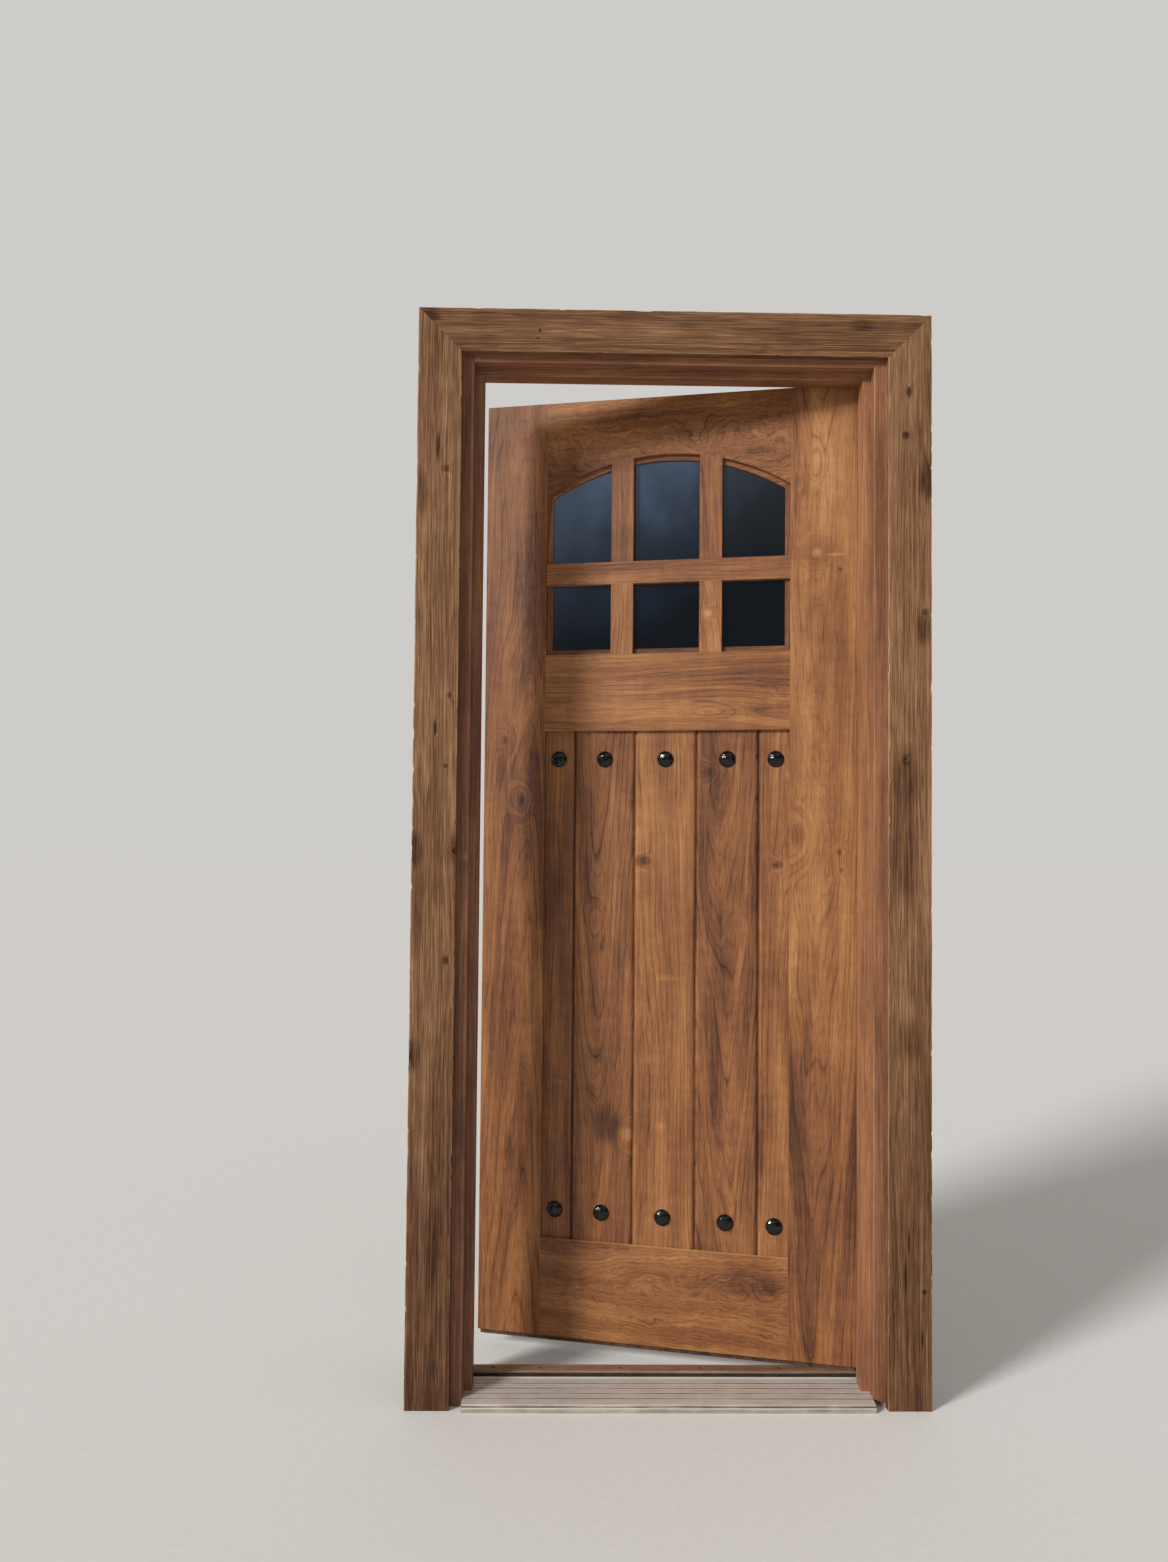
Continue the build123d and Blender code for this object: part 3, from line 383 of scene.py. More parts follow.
jambBoards = {
    # the strike jamb is toned darker: painted shade
    "jamb_strike": dict(seed=31, middle=(-425, 1050), pith=(90, 30), tone=-0.08),
    "jamb_hinge": dict(seed=32, middle=(425, 1050), pith=(-80, 30)),
    "jamb_head": dict(seed=33, along="x", middle=(0, 2112), pith=(80, 30)),
    "stop_left": dict(seed=34, middle=(-400, 1050), pith=(80, 30), tone=-0.02),
    "stop_right": dict(seed=35, middle=(400, 1050), pith=(-90, 30), tone=0.12),
    "stop_head": dict(seed=36, along="x", middle=(0, 2087), pith=(80, 30)),
    "sill_cap": dict(seed=37, along="x", middle=(0, 25), pith=(80, 30), tone=0.04, marks=[  # pale scuffs
        (x, 30, 0, 0, reach, -0.5, 1.6)
        for x, reach in ((-99, 6), (-79, 4), (58, 6), (93, 4), (241, 8), (354, 7))]),
    "sill_core": dict(seed=38, along="x", middle=(0, 10), pith=(60, 30), tone=-0.1),
}
for part, settings in jambBoards.items():
    finish = capFinish if part.startswith("sill") else jambFinish
    dress(woodBoard("stainedPine_" + part, finish, taper=0.01, onLeaf=False, depth=0, **settings), part)
print("jamb, stops and cap dressed in pine")

casingBoards = {
    "casing_left": dict(seed=41, middle=(-478, 1050), pith=(-60, 30), taper=0.012, marks=(
        (-461, 1870, 24, 2.6, 9, 0.26, 1.2), (-449, 1411, 18, 2.0, 8, 0.26, 1.2),
        (-456, 1269, 0, 0, 6, 0.42, 1.0), (-433, 1101, 26, 1.6, 26, 0.24, 2.0),
        (-513, 1100, 22, 1.6, 22, 0.24, 2.2), (-516, 694, 24, 1.6, 20, 0.26, 2.4),
        (-506, 990, 0, 0, 26, 0.12, 5.0), (-456, 882, 16, 1.4, 9, 0.3, 1.4),
        (-476, 1915, 0, 0, 5, 0.42, 8.0), (-505, 1820, 0, 0, 16, 0.19, 4.0),
        (-478, 1345, 0, 0, 4, 0.42, 6.0), (-478, 0, 0, 0, 500, 0.2, 1.6),
        (-470, 330, 0, 0, 22, 0.12, 5.0))),
    "casing_right": dict(seed=42, middle=(478, 1050), pith=(70, 34), taper=-0.012, tone=0.05, marks=(
        (514, 1860, 34, 2.2, 28, 0.26, 2.0), (467, 1951, 16, 1.6, 9, 0.42, 1.2),
        (508, 1590, 22, 2.6, 9, 0.26, 1.1), (507, 1556, 0, 0, 22, 0.26, 2.2),
        (470, 1290, 28, 2.4, 14, 0.25, 1.3), (472, 1250, 0, 0, 40, 0.2, 2.2),
        (467, 1105, 0, 0, 44, 0.16, 3.2), (477, 730, 0, 0, 40, 0.14, 1.6),
        (500, 860, 0, 0, 36, 0.07, 3.0), (470, 250, 0, 0, 46, 0.06, 5.0),
        (473, 2040, 14, 1.4, 7, 0.42, 2.4), (478, 0, 0, 0, 640, 0.15, 1.5),
        (467, 262, 0, 0, 3.4, 0.5, 12.0), (474, 330, 0, 0, 2.6, 0.4, 14.0),
        (500, 140, 0, 0, 3, 0.4, 8.0), (503, 233, 0, 0, 6, 0.3, 1.2), (494, 520, 0, 0, 40, 0.1, 6.0))),
    "casing_head": dict(seed=43, along="x", middle=(0, 2155), pith=(60, 30), taper=0.01, tone=-0.08, marks=(
        (-499, 2183, 34, 2.6, 26, 0.28, 1.2), (-276, 2155, 0, 0, 4, 0.51, 1.0),
        (-280, 2140, 0, 0, 4, 0.42, 1.0), (380, 2170, 26, 1.6, 20, 0.19, 2.0))),
}
brushed = {  # mm; a cell is its size along the board and across it; From: where it starts, and how gradually
    "inner": 433.5, "head": 2111.0, "gap": 0.3,  # the opening inside the casing, and the mitres' joint
    "width": 89, "thick": 19, "arris": 2.0, "ease": 0.6, "sides": (5, 14), "cell": 1.5, "step": 5,
    "mitreFrom": {"casing_left": 2000, "casing_right": 2000, "casing_head": 380},
    "bend": 5, "bendCell": (210, 60),  # how far the brush strokes wander
    "furrow": 0.4, "fine": (170, 2.3), "finer": (60, 1.4), "mix": (0.7, 0.3), "cutFrom": (0.54, 0.26),
    "swell": 0.35, "swellCell": (300, 6),
    "edge": 7, "wear": 0.9, "wearCell": 34, "chip": 2.2, "chipCell": 13, "chipFrom": (0.78, 0.22),
    "nickDeep": 9, "nickRough": (0.8, 0.4), "nickCell": 3,
    "nicks": {  # edge (0 inner, 1 outer), along, deep, long
        "casing_left": ((1, 1096, 5, 26), (1, 692, 7, 42), (0, 1100, 9, 22)),
        "casing_right": (), "casing_head": ()},
    "pits": {  # across, along, radius, deep
        "casing_left": ((39, 1957, 2.2, 3), (42, 1331, 2.0, 2.5), (23, 1269, 2.6, 2)),
        "casing_right": ((37.5, 1292, 5, 4), (43, 1332, 1.8, 3), (40, 2040, 2.0, 3), (33, 1951, 3, 2)),
        "casing_head": ((44, -276, 2.0, 3), (30, -281, 1.8, 2.5))},
}


def softNoise(a, b, seed):
    # smooth noise from 0 to 1, one cell to a unit each way
    table = np.random.RandomState(seed).rand(256, 256)
    i, j = np.floor(a).astype(int), np.floor(b).astype(int)
    u, v = a - i, b - j
    u, v = u * u * (3 - 2 * u), v * v * (3 - 2 * v)
    near = table[i % 256, j % 256] * (1 - v) + table[i % 256, (j + 1) % 256] * v
    far = table[(i + 1) % 256, j % 256] * (1 - v) + table[(i + 1) % 256, (j + 1) % 256] * v
    return near * (1 - u) + far * u


def tubeFaces(rows, columns):
    # the faces between closed loops of points, one loop after the other
    index = np.arange(rows * columns).reshape(rows, columns)
    nextOne = np.roll(index, -1, 1)
    return np.stack([index[:-1], nextOne[:-1], nextOne[1:], index[1:]], 2).reshape(-1, 4).tolist()


def meshObject(name, points, faces, body, node, material, smooth=35):
    # a piece of the scene that stands for one CAD node, with edges sharper than smooth degrees kept
    mesh = bpy.data.meshes.new(name)
    mesh.from_pydata(points, [], faces)
    mesh.materials.append(material)
    mesh.validate()
    mesh.shade_smooth()
    mesh.set_sharp_from_angle(angle=math.radians(smooth))
    made = bpy.data.objects.new(name, mesh)
    bpy.context.scene.collection.objects.link(made)
    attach(made, body)
    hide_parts(node)
    return made


def boardLoop():
    # round a casing board: across it and back from its front, mm
    width, thick, arris, ease = (brushed[key] for key in ("width", "thick", "arris", "ease"))
    front = np.linspace(arris, width - arris, int((width - 2 * arris) / brushed["cell"]) + 1)
    nick = brushed["nickDeep"]
    sides = [arris, brushed["sides"][0], nick - 0.1, nick + 0.1, brushed["sides"][1], thick]
    loop = [(a, 0.0) for a in front] + [(width - ease, ease)] + [(width, t) for t in sides]
    return np.array(loop + [(0.0, t) for t in reversed(sides)] + [(ease, ease)])


def boardStations(node, low, high):
    # where the loops stand along a board, closer together at its nicks and pits
    stations = set(np.linspace(low, high, int((high - low) / brushed["step"]) + 1))
    for _, along, _, length in brushed["nicks"][node]:
        stations |= set(np.linspace(along - length * 0.6, along + length * 0.6, 21))
    for _, along, radius, _ in brushed["pits"][node]:
        stations |= set(np.linspace(along - radius * 1.4, along + radius * 1.4, 11))
    return np.array(sorted(stations))


def strokes(a, b, seed):
    # how deep the brush cut between the ridges, and the slower swell of the face, both from 0 to 1
    size = brushed
    bent = a + size["bend"] * softNoise(b / size["bendCell"][0], a / size["bendCell"][1], seed)
    fine, finer, swell = (
        softNoise(bent / size[key][1], b / size[key][0], seed + i)
        for i, key in enumerate(("fine", "finer", "swellCell"), 1))
    start, spread = size["cutFrom"]
    furrow = np.clip((size["mix"][0] * fine + size["mix"][1] * finer - start) / spread, 0, 1)
    return furrow, swell


def wornEdges(a, b, t, seed):
    # both long edges worn down and chipped, less so behind the front
    size = brushed
    reach = np.clip(1 - t / size["thick"], 0.1, 1)
    start, spread = size["chipFrom"]
    for edge in (0, 1):
        away = a if edge == 0 else size["width"] - a
        near = np.clip(1 - away / size["edge"], 0, 1) * reach
        wear = size["wear"] * softNoise(b / size["wearCell"], b * 0 + edge, seed + 5)
        chip = softNoise(b / size["chipCell"], b * 0 + edge, seed + 6)
        chip = size["chip"] * np.clip((chip - start) / spread, 0, 1)
        a = a + (1 if edge == 0 else -1) * near * (wear + chip)
    return a


def nicked(node, a, b, t, seed):
    # wedges knocked out of the edges
    size = brushed
    for edge, along, deep, length in size["nicks"][node]:
        even, uneven = size["nickRough"]
        rough = even + uneven * softNoise(b / size["nickCell"], t / size["nickCell"], seed + 7)
        wedge = np.clip(1 - np.abs(b - along) / (length / 2), 0, 1)
        wedge = deep * wedge * rough * (t < size["nickDeep"])
        a = np.maximum(a, wedge) if edge == 0 else np.minimum(a, size["width"] - wedge)
    return a


def brushedBoard(node, material, seed):
    # a casing board as a tube of loops along its length: a across, t back from the front, b along, in mm
    size = brushed
    isHead = node == "casing_head"
    low, high = (-size["inner"], size["inner"]) if isHead else (0.0, size["head"] - size["gap"])
    loop, stations = boardLoop(), boardStations(node, low, high)
    a, b = np.meshgrid(loop[:, 0], stations)
    t = np.meshgrid(loop[:, 1], stations)[0]
    facing = np.meshgrid(loop[:, 1] < 1, stations)[0].astype(float)

    furrow, swell = strokes(a, b, seed)
    t = t + facing * (size["furrow"] * furrow + size["swell"] * swell)
    a = nicked(node, wornEdges(a, b, t, seed), b, t, seed)
    for across, along, radius, deep in size["pits"][node]:
        pit = np.clip(1 - np.hypot(a - across, b - along) / radius, 0, 1)
        t = t + facing * deep * np.sqrt(pit)
        furrow = np.maximum(furrow, facing * (pit > 0))

    start = size["mitreFrom"][node]  # beyond this the loops slant, up to the mitre
    over = np.clip((np.abs(b) - start) / (high - start), 0, 1)
    slanted = b + np.sign(b) * over * a
    if isHead:
        x, z = slanted, size["head"] + a
    else:
        x, z = (-1 if node == "casing_left" else 1) * (size["inner"] + a), slanted
    points = np.stack([x, t - size["thick"], z], 2).reshape(-1, 3) / 1000
    faces = tubeFaces(*a.shape)
    faces += [list(range(len(loop)))[::-1], list(range(len(points) - len(loop), len(points)))]
    if node == "casing_right":
        faces = [face[::-1] for face in faces]
    board = meshObject(node + "_brushed", points.tolist(), faces, "frame", node, material)
    attribute = board.data.attributes.new("furrow", "FLOAT", "POINT")
    attribute.data.foreach_set("value", furrow.reshape(-1).astype(np.float32))


for part, settings in casingBoards.items():
    wood = woodBoard("brushedFir_" + part, casingFinish, onLeaf=False, depth=-19, furrow=0.1, **settings)
    brushedBoard(part, wood, settings["seed"] * 10)
print("casing built and dressed in brushed fir")

# the glass's colour runs from a deep navy of painted shade to a pale blue painted sky reflection
glass = {
    "tones": ((0.0, "#0d131b"), (0.5, "#202d3f"), (1.0, "#486283")), "tint": "#b9d2f2",
    "cloud": 143, "leftUp": (-1.6, 0, 1.5), "hazeAndSkyReflection": (2.78, 3.42),  # the haze's cells mm, and where the haze and painted sky reflection thicken
    "clear": (0.45, 0.33), "rough": 0.02, "wave": 83.3, "waveHigh": 0.6,  # mm
}


def floatGlass():
    # float glass, two sealed panes: a deep navy of painted shade, with clear polished reflections a little
    # bent by slow waves
    made, tree, shader = newMaterial("floatGlass", **{
        "Roughness": glass["rough"], "IOR": 1.52, "Specular IOR Level": 1.0,
        "Specular Tint": linear(glass["tint"]), "Coat Weight": 1.0, "Coat Roughness": glass["rough"]})
    where = add(tree, "ShaderNodeTexCoord").outputs["Object"]
    # a thin haze, and a painted sky reflection: paler and bluer, thickest high on the left
    cloud = add(tree, "ShaderNodeTexNoise", {
        "Vector": where, "Scale": 1000 / glass["cloud"], "Detail": 4.0, "Roughness": 0.55}).outputs[0]
    leftUp = add(tree, "ShaderNodeVectorMath", {0: where, 1: glass["leftUp"]}, operation="DOT_PRODUCT")
    hazeAndSkyReflection = add(tree, "ShaderNodeMath", {0: cloud, 1: 0.7, 2: leftUp.outputs["Value"]},
               operation="MULTIPLY_ADD").outputs[0]
    thin, thick = glass["hazeAndSkyReflection"]
    hazeAndSkyReflection = add(tree, "ShaderNodeMapRange", {"Value": hazeAndSkyReflection, "From Min": thin, "From Max": thick}).outputs[0]
    colourFrom(tree, shader, hazeAndSkyReflection, glass["tones"])
    # under half the light passes: painted shade, with less still where the haze and painted sky reflection
    # thicken
    clean, dusty = glass["clear"]
    clear = add(tree, "ShaderNodeMapRange", {"Value": hazeAndSkyReflection, "To Min": clean, "To Max": dusty}).outputs[0]
    tree.links.new(clear, shader.inputs["Transmission Weight"])
    wave = add(tree, "ShaderNodeTexNoise", {
        "Vector": where, "Scale": 1000 / glass["wave"], "Detail": 0.0}).outputs[0]
    bump = add(tree, "ShaderNodeBump", {"Height": wave, "Distance": glass["waveHigh"] / 1000})
    tree.links.new(bump.outputs[0], shader.inputs["Normal"])
    return made


dress(floatGlass(), "glass_outer_pane", "glass_inner_pane")
print("panes dressed")

smallParts = {  # pattern: cells mm across and along, rough: at its dark and light tones, relief mm
    "milledAluminiumSpacer": {  # extruded aluminium: grey, satin, with fine lines along it
        "tones": ("#74787b", "#a9adaf"), "pattern": (0.6, 60), "metallic": 1.0, "rough": (0.5, 0.34),
        "relief": 0.02, "nodes": ["glass_spacer"]},
    "wrinkledFoamSeal": {  # foam in a thin skin: nearly black, matt, with small wrinkles
        "tones": ("#120d0a", "#32271f"), "pattern": (3, 2.2), "metallic": 0.0, "rough": (0.85, 0.6),
        "relief": 0.2,
        "nodes": ["weatherstrip_left", "weatherstrip_right", "weatherstrip_head", "sill_gasket"]},
    "nylonBristleSweep": {  # nylon bristles: brown, dull, in upright strands
        "tones": ("#33231a", "#654732"), "pattern": (1.2, 40), "metallic": 0.0, "rough": (0.8, 0.55),
        "relief": 0.3, "nodes": ["door_sweep"]},
    "oilRubbedBronze": {  # oil-rubbed bronze: dark brown with a soft gleam, and coppery rubbed edges
        "tones": ("#2a201a", "#6b4d38"), "pattern": (7, 9), "metallic": 1.0, "rough": (0.55, 0.3),
        "relief": 0.04, "nodes": [name for name in nodes if name.startswith("hinge_")]},
    "dulledZinc": {  # zinc plating gone dull: warm grey, speckled
        "tones": ("#615c55", "#a39c90"), "pattern": (2, 2), "metallic": 1.0, "rough": (0.55, 0.3),
        "relief": 0.03, "nodes": ["cap_screws", "jamb_hinge_screws", "leaf_hinge_screws"]},
}
tarnish = {"cell": 22.2, "between": (0.75, 1.25), "rubbed": 0.25, "tonesAt": (0.15, 0.9)}  # on all of them


def smallPart(name, look):
    # a fine pattern from how it was made, under larger soft tarnish
    made, tree, shader = newMaterial(name, Metallic=look["metallic"])
    where = add(tree, "ShaderNodeTexCoord").outputs["Object"]
    across, along = look["pattern"]
    fine = grain(tree, where, (across, across, along), 3.0).outputs[0]
    cloud = add(tree, "ShaderNodeTexNoise", {
        "Vector": where, "Scale": 1000 / tarnish["cell"], "Detail": 3.0}).outputs[0]
    level = add(tree, "ShaderNodeMath", {0: fine, 1: cloud}).outputs[0]
    low, high = tarnish["between"]
    level = add(tree, "ShaderNodeMapRange", {"Value": level, "From Min": low, "From Max": high}).outputs[0]
    rubbed = slantWearAndHighlight(tree, add(tree, "ShaderNodeTexCoord").outputs["Normal"], tarnish["rubbed"])
    level = add(tree, "ShaderNodeMath", {0: level, 1: rubbed}).outputs[0]
    colourFrom(tree, shader, level, list(zip(tarnish["tonesAt"], look["tones"])))
    roughnessAndRelief(tree, shader, level, look["rough"], level, look["relief"])
    return made


for name, look in smallParts.items():
    dress(smallPart(name, look), *look["nodes"])
print("seals, hinges and screws dressed")

tread = {  # mm, x across the door and y indoors from the casing's back
    "tones": ((0.0, "#55504c"), (0.22, "#a59a90"), (0.55, "#d6cbc1"), (1.0, "#f2eee9")),
    "metallic": 0.3, "rough": (0.62, 0.4), "relief": 0.5,
    "start": 0.22, "streaks": (83.3, 3.125, 3.125), "streaky": 0.5, "dust": 38.5, "dusty": 0.4,
    "filled": (200, 11.1, math.inf), "filledFrom": (0.35, 0.65), "filledTo": (0.25, 1.0),
    "grooves": (  # y, how dark
        (-23, 0.5), (-17, 0.3), (-8, 0.24), (0, 0.55), (6, 0.2), (12, 0.3), (19, 0.55), (25, 0.2),
        (31, 0.26), (38, 0.5), (45, 0.2), (51, 0.16), (57, 0.5), (65, 0.16)),
    "grooveHalf": (2, 0.8),  # from its edge to full depth
    "nose": (0.8, 0.98), "noseDark": 0.4,  # from how squarely a face points outdoors
    "top": 15, "spotShape": (1, 2.5, 0),
    "spots": (  # x, y, reach, how dark: stains, then bright scuffs
        (90, 28, 46, 0.12), (-265, 20, 14, 0.1), (-20, 42, 60, 0.08),
        (352, 24, 8, -0.35), (347, 12, 6, -0.3), (362, 33, 5, -0.3)),
}


def grooveShade(tree, where, level):
    # painted shade in lines along the tread's grooves, which dust fills here and there
    (low, high), (full, clean) = tread["filledFrom"], tread["filledTo"]
    filled = add(tree, "ShaderNodeMapRange", {
        "Value": grain(tree, where, tread["filled"], 2.0).outputs[0], "From Min": low, "From Max": high,
        "To Min": full, "To Max": clean}).outputs[0]
    depth = add(tree, "ShaderNodeVectorMath", {0: where, 1: (0, 1, 0)}, operation="DOT_PRODUCT")
    edge, floor = (mm / 1000 for mm in tread["grooveHalf"])
    for at, amount in tread["grooves"]:
        away = add(tree, "ShaderNodeMath", {0: depth.outputs["Value"], 1: at / 1000}, operation="SUBTRACT")
        away = add(tree, "ShaderNodeMath", {0: away.outputs[0]}, operation="ABSOLUTE").outputs[0]
        away = add(tree, "ShaderNodeMapRange", {
            "Value": away, "From Min": edge, "From Max": floor, "To Min": 0, "To Max": -amount}).outputs[0]
        level = add(tree, "ShaderNodeMath", {0: away, 1: filled, 2: level},
                    operation="MULTIPLY_ADD").outputs[0]
    return level


def stained(tree, where, level):
    # darker on faces that point squarely outdoors, as on the nose; stains and scuffs
    normal = add(tree, "ShaderNodeTexCoord").outputs["Normal"]
    front = add(tree, "ShaderNodeVectorMath", {0: normal, 1: (0, -1, 0)}, operation="DOT_PRODUCT")
    low, high = tread["nose"]
    noseDarkening = add(tree, "ShaderNodeMapRange", {
        "Value": front.outputs["Value"], "From Min": low, "From Max": high,
        "To Min": 0, "To Max": tread["noseDark"]}).outputs[0]
    level = add(tree, "ShaderNodeMath", {0: level, 1: noseDarkening}, operation="SUBTRACT").outputs[0]
    for x, y, reach, amount in tread["spots"]:
        at = (x / 1000, y / 1000, tread["top"] / 1000)
        away = add(tree, "ShaderNodeVectorMath", {0: where, 1: at}, operation="SUBTRACT").outputs[0]
        away = add(tree, "ShaderNodeVectorMath", {0: away, 1: tread["spotShape"]}, operation="MULTIPLY")
        away = add(tree, "ShaderNodeVectorMath", {0: away.outputs[0]}, operation="LENGTH").outputs["Value"]
        away = add(tree, "ShaderNodeMapRange", {
            "Value": away, "From Min": reach / 1000, "From Max": 0, "To Min": 0, "To Max": amount}).outputs[0]
        level = add(tree, "ShaderNodeMath", {0: level, 1: away}, operation="SUBTRACT").outputs[0]
    return level


def dustyAluminium():
    # extruded aluminium, mill finish, gone dull under dust: painted shade in its grooves, brighter on its
    # ridges
    made, tree, shader = newMaterial("dustyMillAluminium", Metallic=tread["metallic"])
    where = add(tree, "ShaderNodeTexCoord").outputs["Object"]
    streaks = grain(tree, where, tread["streaks"], 3.0).outputs[0]
    dust = add(tree, "ShaderNodeTexNoise", {
        "Vector": where, "Scale": 1000 / tread["dust"], "Detail": 5.0, "Roughness": 0.6}).outputs[0]
    level = tread["start"]
    for source, amount in ((streaks, tread["streaky"]), (dust, tread["dusty"])):
        level = add(tree, "ShaderNodeMath", {0: source, 1: amount, 2: level},
                    operation="MULTIPLY_ADD").outputs[0]
    level = stained(tree, where, grooveShade(tree, where, level))
    colourFrom(tree, shader, level, tread["tones"])
    roughnessAndRelief(tree, shader, level, tread["rough"], level, tread["relief"])
    return made


dress(dustyAluminium(), "sill_tread")
print("tread dressed")

clavo = {  # mm and degrees
    "radius": 17.6, "height": 9.9, "rim": 1.2, "face": 81.5, "rings": 22, "around": 60, "smooth": 24,
    "flats": ((16, 16), (13, 34), (10, 50), (6, 66), (3, 82)),  # how many, degrees up the dome
    "bite": (0.35, 0.6), "astray": 13.5, "upOrDown": 5.4, "tilt": 0.12,  # how uneven the hammering was
    "colour": "#090809", "gloss": 0.45, "dents": 4.167, "rough": (0.04, 0.18), "relief": 0.8,
}


def forgedIron():
    # hand-forged iron, lacquered black: hammered flats that each catch the light, glossy, dented
    made, tree, shader = newMaterial("lacqueredForgedIron", **{
        "Base Color": linear(clavo["colour"]), "IOR": 1.5, "Specular IOR Level": clavo["gloss"]})
    where = add(tree, "ShaderNodeTexCoord").outputs["Object"]
    skin = add(tree, "ShaderNodeTexNoise", {
        "Vector": where, "Scale": 1000 / clavo["dents"], "Detail": 1.5}).outputs[0]
    roughnessAndRelief(tree, shader, skin, clavo["rough"], skin, clavo["relief"])
    return made


def islandCentres(node):
    # the middles of a node's separate solids, in the shut leaf's place
    mesh = nodes[node].data
    places = [tuple(round(c, 5) for c in vertex.co) for vertex in mesh.vertices]
    owner = {key: key for key in places}

    def root(key):
        while owner[key] != key:
            key = owner[key]
        return key

    for polygon in mesh.polygons:
        keys = [root(places[v]) for v in polygon.vertices]
        for key in keys[1:]:
            owner[root(key)] = root(keys[0])
    groups = {}
    for key in owner:
        groups.setdefault(root(key), []).append(closeLeaf @ Vector(key))
    middles = []
    for points in groups.values():
        low = [min(p[i] for p in points) for i in range(3)]
        high = [max(p[i] for p in points) for i in range(3)]
        middles.append(Vector([(a + b) / 2 for a, b in zip(low, high)]))
    return sorted(middles, key=lambda p: p.x)


def onDome(angle, turn):
    # a point on a nail head, so far up from its rim and so far round
    flat = clavo["radius"] * math.cos(angle)
    up = clavo["rim"] + (clavo["height"] - clavo["rim"]) * math.sin(angle)
    return np.array([flat * math.cos(turn), flat * math.sin(turn), up])


def hammeredHead(centre, seed):
    # a dome with flats beaten into it, facing outdoors, placed on the leaf as it rests
    rng = np.random.RandomState(seed)
    size = clavo
    radius, height, rim, around = size["radius"], size["height"], size["rim"], size["around"]
    turns = np.radians(np.arange(around) * 360 / around)
    points = [(radius * math.cos(t), radius * math.sin(t), 0) for t in turns]
    for angle in np.radians(np.linspace(0, 90, size["rings"]))[:-1]:
        points += [onDome(angle, t) for t in turns]
    points = np.array(points + [(0, 0, height), (0, 0, 0)])
    for count, level in size["flats"]:
        first = rng.rand() * 360
        for i in range(count):
            turn = math.radians(first + i * 360 / count + rng.uniform(-1, 1) * size["astray"])
            at = onDome(math.radians(min(90, level + rng.uniform(-1, 1) * size["upOrDown"])), turn)
            normal = (at - (0, 0, rim)) / (radius ** 2, radius ** 2, (height - rim) ** 2)
            normal = normal / np.linalg.norm(normal) + rng.uniform(-1, 1, 3) * size["tilt"]
            normal /= np.linalg.norm(normal)
            past = np.clip((points - at) @ normal + rng.uniform(*size["bite"]), 0, None)
            past[points[:, 2] < 0.01] = 0  # the foot stays flat on its plank
            points = points - past[:, None] * normal
    faces = tubeFaces(size["rings"], around)
    last, top, bottom = len(points) - 2 - around, len(points) - 2, len(points) - 1
    for i in range(around):
        j = (i + 1) % around
        faces += [(last + i, last + j, top), (j, i, bottom)]
    # dome up becomes outdoors: (x, y, up) to (x, -up, y)
    openLeaf = closeLeaf.inverted()
    return [openLeaf @ Vector((centre.x + x / 1000, (size["face"] - up) / 1000, centre.z + y / 1000))
            for x, y, up in points], faces


iron = forgedIron()
for row, node in enumerate(("clavos_upper", "clavos_lower")):
    points, faces = [], []
    for i, centre in enumerate(islandCentres(node)):
        somePoints, someFaces = hammeredHead(centre, 60 + row * 10 + i)
        faces += [tuple(v + len(points) for v in face) for face in someFaces]
        points += somePoints
    meshObject(node + "_hammered", points, faces, "leaf", node, iron, clavo["smooth"])
print("nail heads hammered")

studio = {
    "floor": 60, "under": 0.0005,  # metres
    "paper": "#eeece8", "paperTones": ((0.3, "#ebe9e5"), (0.7, "#efede9")),
    "fibre": 16.7, "tooth": 3.33, "toothHigh": 0.2,  # mm
    "world": 0.43, "seen": 0.72, "sun": 2.75, "sunAngle": 13, "towardsSun": (-0.75, -0.6, 0.45),
    "panelLean": (-0.35, 0, 1), "panelFrom": (0.28, 0.5), "panelTo": (0.1, 0.8),
    "aboveFrom": (0.62, 1.0), "aboveTo": (1, 0.25),
}
view = {  # worked out from the photo, metres and degrees
    "focal": 27.01, "sensor": 36, "place": (-0.2159, -2.3654, 1.1642),
    "yaw": -0.905, "pitch": 1.885, "roll": -0.530,
}


def mattPaper():
    # matt studio paper: one pale tone with a fine tooth and no gloss
    made, tree, shader = newMaterial("mattPaper", **{"Roughness": 1.0, "Specular IOR Level": 0.0})
    where = add(tree, "ShaderNodeTexCoord").outputs["Object"]
    fibre = add(tree, "ShaderNodeTexNoise", {
        "Vector": where, "Scale": 1000 / studio["fibre"], "Detail": 4.0}).outputs[0]
    colourFrom(tree, shader, fibre, studio["paperTones"])
    tooth = add(tree, "ShaderNodeTexNoise", {
        "Vector": where, "Scale": 1000 / studio["tooth"], "Detail": 2.0}).outputs[0]
    bump = add(tree, "ShaderNodeBump", {"Height": tooth, "Distance": studio["toothHigh"] / 1000})
    tree.links.new(bump.outputs[0], shader.inputs["Normal"])
    return made


def layFloor():
    half = studio["floor"] / 2
    mesh = bpy.data.meshes.new("studioFloor")
    corners = [(-half, -half, 0), (half, -half, 0), (half, half, 0), (-half, half, 0)]
    mesh.from_pydata(corners, [], [(0, 1, 2, 3)])
    mesh.materials.append(mattPaper())
    floor = bpy.data.objects.new("studioFloor", mesh)
    floor.location = (0, 0, -studio["under"])
    bpy.context.scene.collection.objects.link(floor)


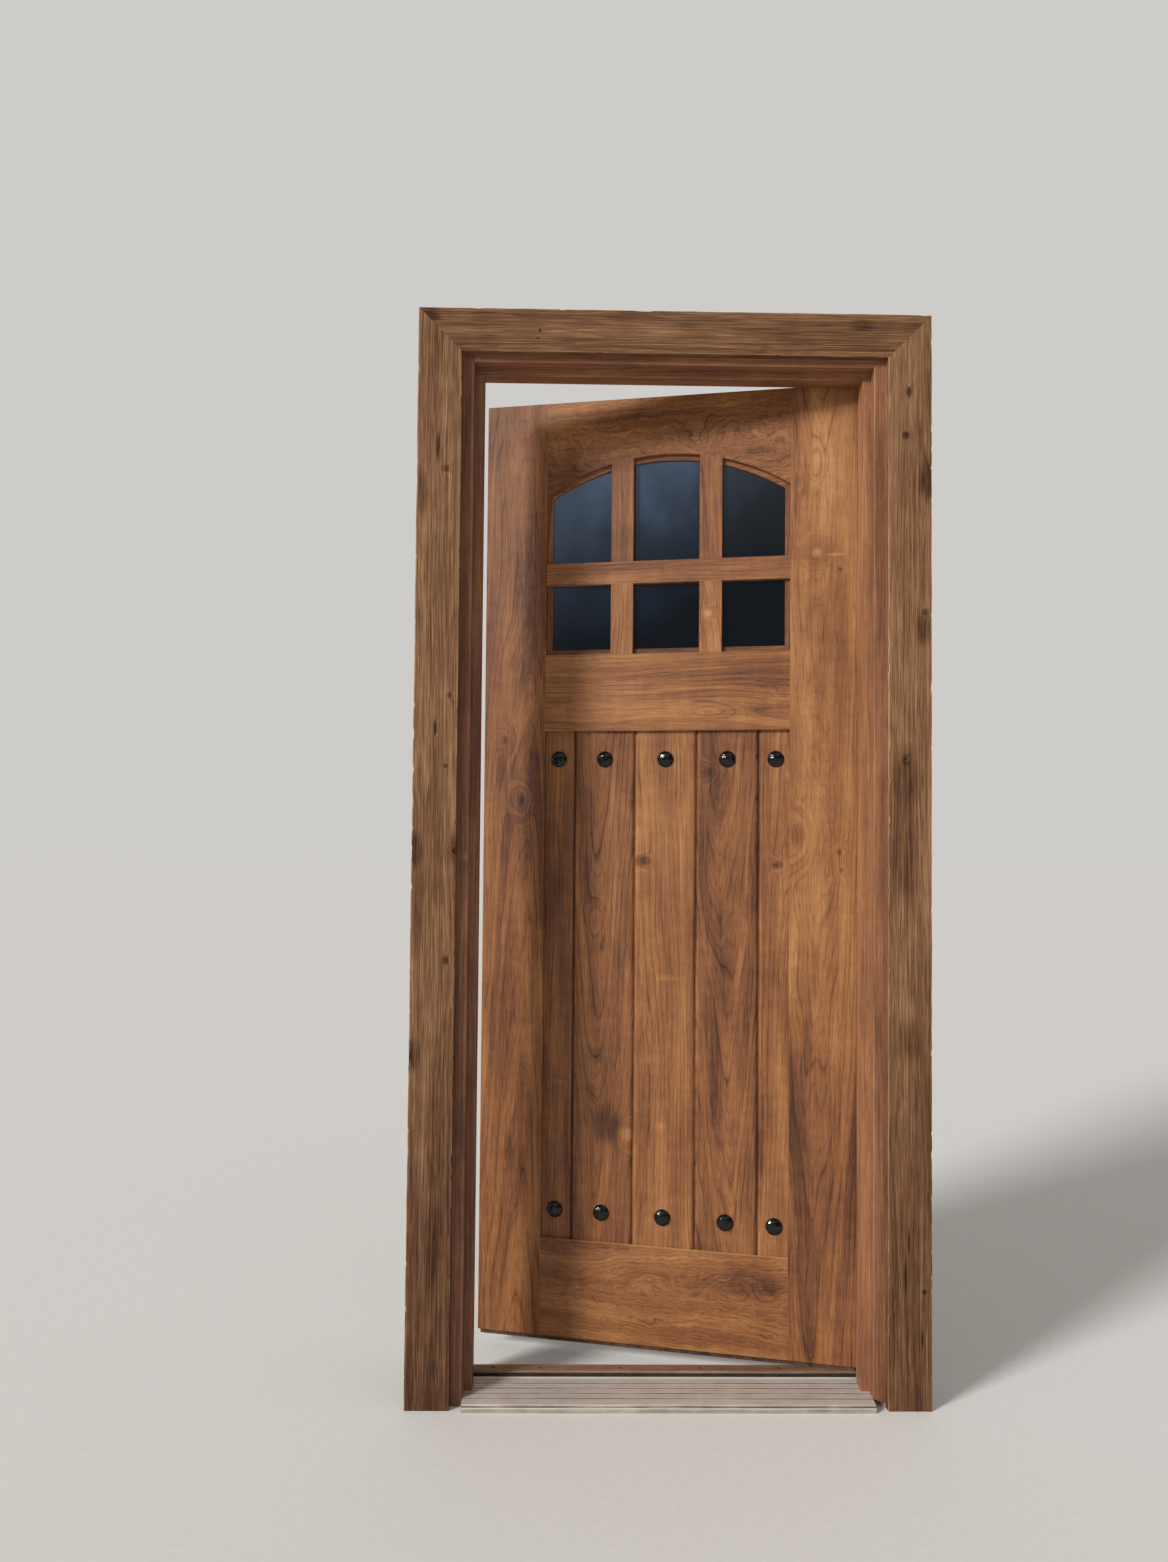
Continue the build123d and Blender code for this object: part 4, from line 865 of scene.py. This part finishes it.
def lightRoom():
    world = bpy.data.worlds.new("softStudio")
    bpy.context.scene.world = world
    world.use_nodes = True
    tree = world.node_tree
    tree.nodes.clear()
    rays = add(tree, "ShaderNodeLightPath").outputs
    seen = add(tree, "ShaderNodeMath", {0: rays["Is Camera Ray"], 1: rays["Is Transmission Ray"]}).outputs[0]
    strength = add(tree, "ShaderNodeMapRange", {
        "Value": seen, "To Min": studio["world"], "To Max": studio["seen"]}).outputs[0]
    # gloss shows a broad soft panel overhead and to the left, over a dimmer room
    direction = add(tree, "ShaderNodeTexCoord").outputs["Generated"]
    height = add(tree, "ShaderNodeVectorMath", {0: direction, 1: studio["panelLean"]},
                 operation="DOT_PRODUCT").outputs["Value"]
    (low, high), (dim, bright) = studio["panelFrom"], studio["panelTo"]
    panel = add(tree, "ShaderNodeMapRange", {
        "Value": height, "From Min": low, "From Max": high, "To Min": dim, "To Max": bright},
        interpolation_type="SMOOTHSTEP").outputs[0]
    (low, high), (full, above) = studio["aboveFrom"], studio["aboveTo"]
    fading = add(tree, "ShaderNodeMapRange", {
        "Value": height, "From Min": low, "From Max": high, "To Min": full, "To Max": above}).outputs[0]
    panel = add(tree, "ShaderNodeMath", {0: panel, 1: fading}, operation="MULTIPLY").outputs[0]
    strength = add(tree, "ShaderNodeMix", {
        "Factor": rays["Is Glossy Ray"], "A": strength, "B": panel}).outputs["Result"]
    sky = add(tree, "ShaderNodeBackground", {"Color": linear(studio["paper"]), "Strength": strength})
    add(tree, "ShaderNodeOutputWorld", {"Surface": sky.outputs[0]})


def hangKeyLight():
    # a broad soft key, from upper left in front
    lamp = bpy.data.lights.new("keyLight", "SUN")
    lamp.energy = studio["sun"]
    lamp.angle = math.radians(studio["sunAngle"])
    key = bpy.data.objects.new("keyLight", lamp)
    key.rotation_euler = Vector(studio["towardsSun"]).to_track_quat("Z", "Y").to_euler()
    bpy.context.scene.collection.objects.link(key)


def placeCamera():
    camera = bpy.data.objects.new("camera", bpy.data.cameras.new("camera"))
    camera.data.lens = view["focal"]
    camera.data.sensor_width = view["sensor"]
    turn = Matrix.Identity(4)
    for degrees, axis in ((view["yaw"], "Z"), (view["pitch"], "X"), (view["roll"], "Y"), (90, "X")):
        turn = turn @ Matrix.Rotation(math.radians(degrees), 4, axis)
    camera.matrix_world = Matrix.Translation(view["place"]) @ turn
    bpy.context.scene.collection.objects.link(camera)
    bpy.context.scene.camera = camera


layFloor()
lightRoom()
hangKeyLight()
placeCamera()
bpy.context.scene.view_settings.view_transform = "Standard"
print("studio set")
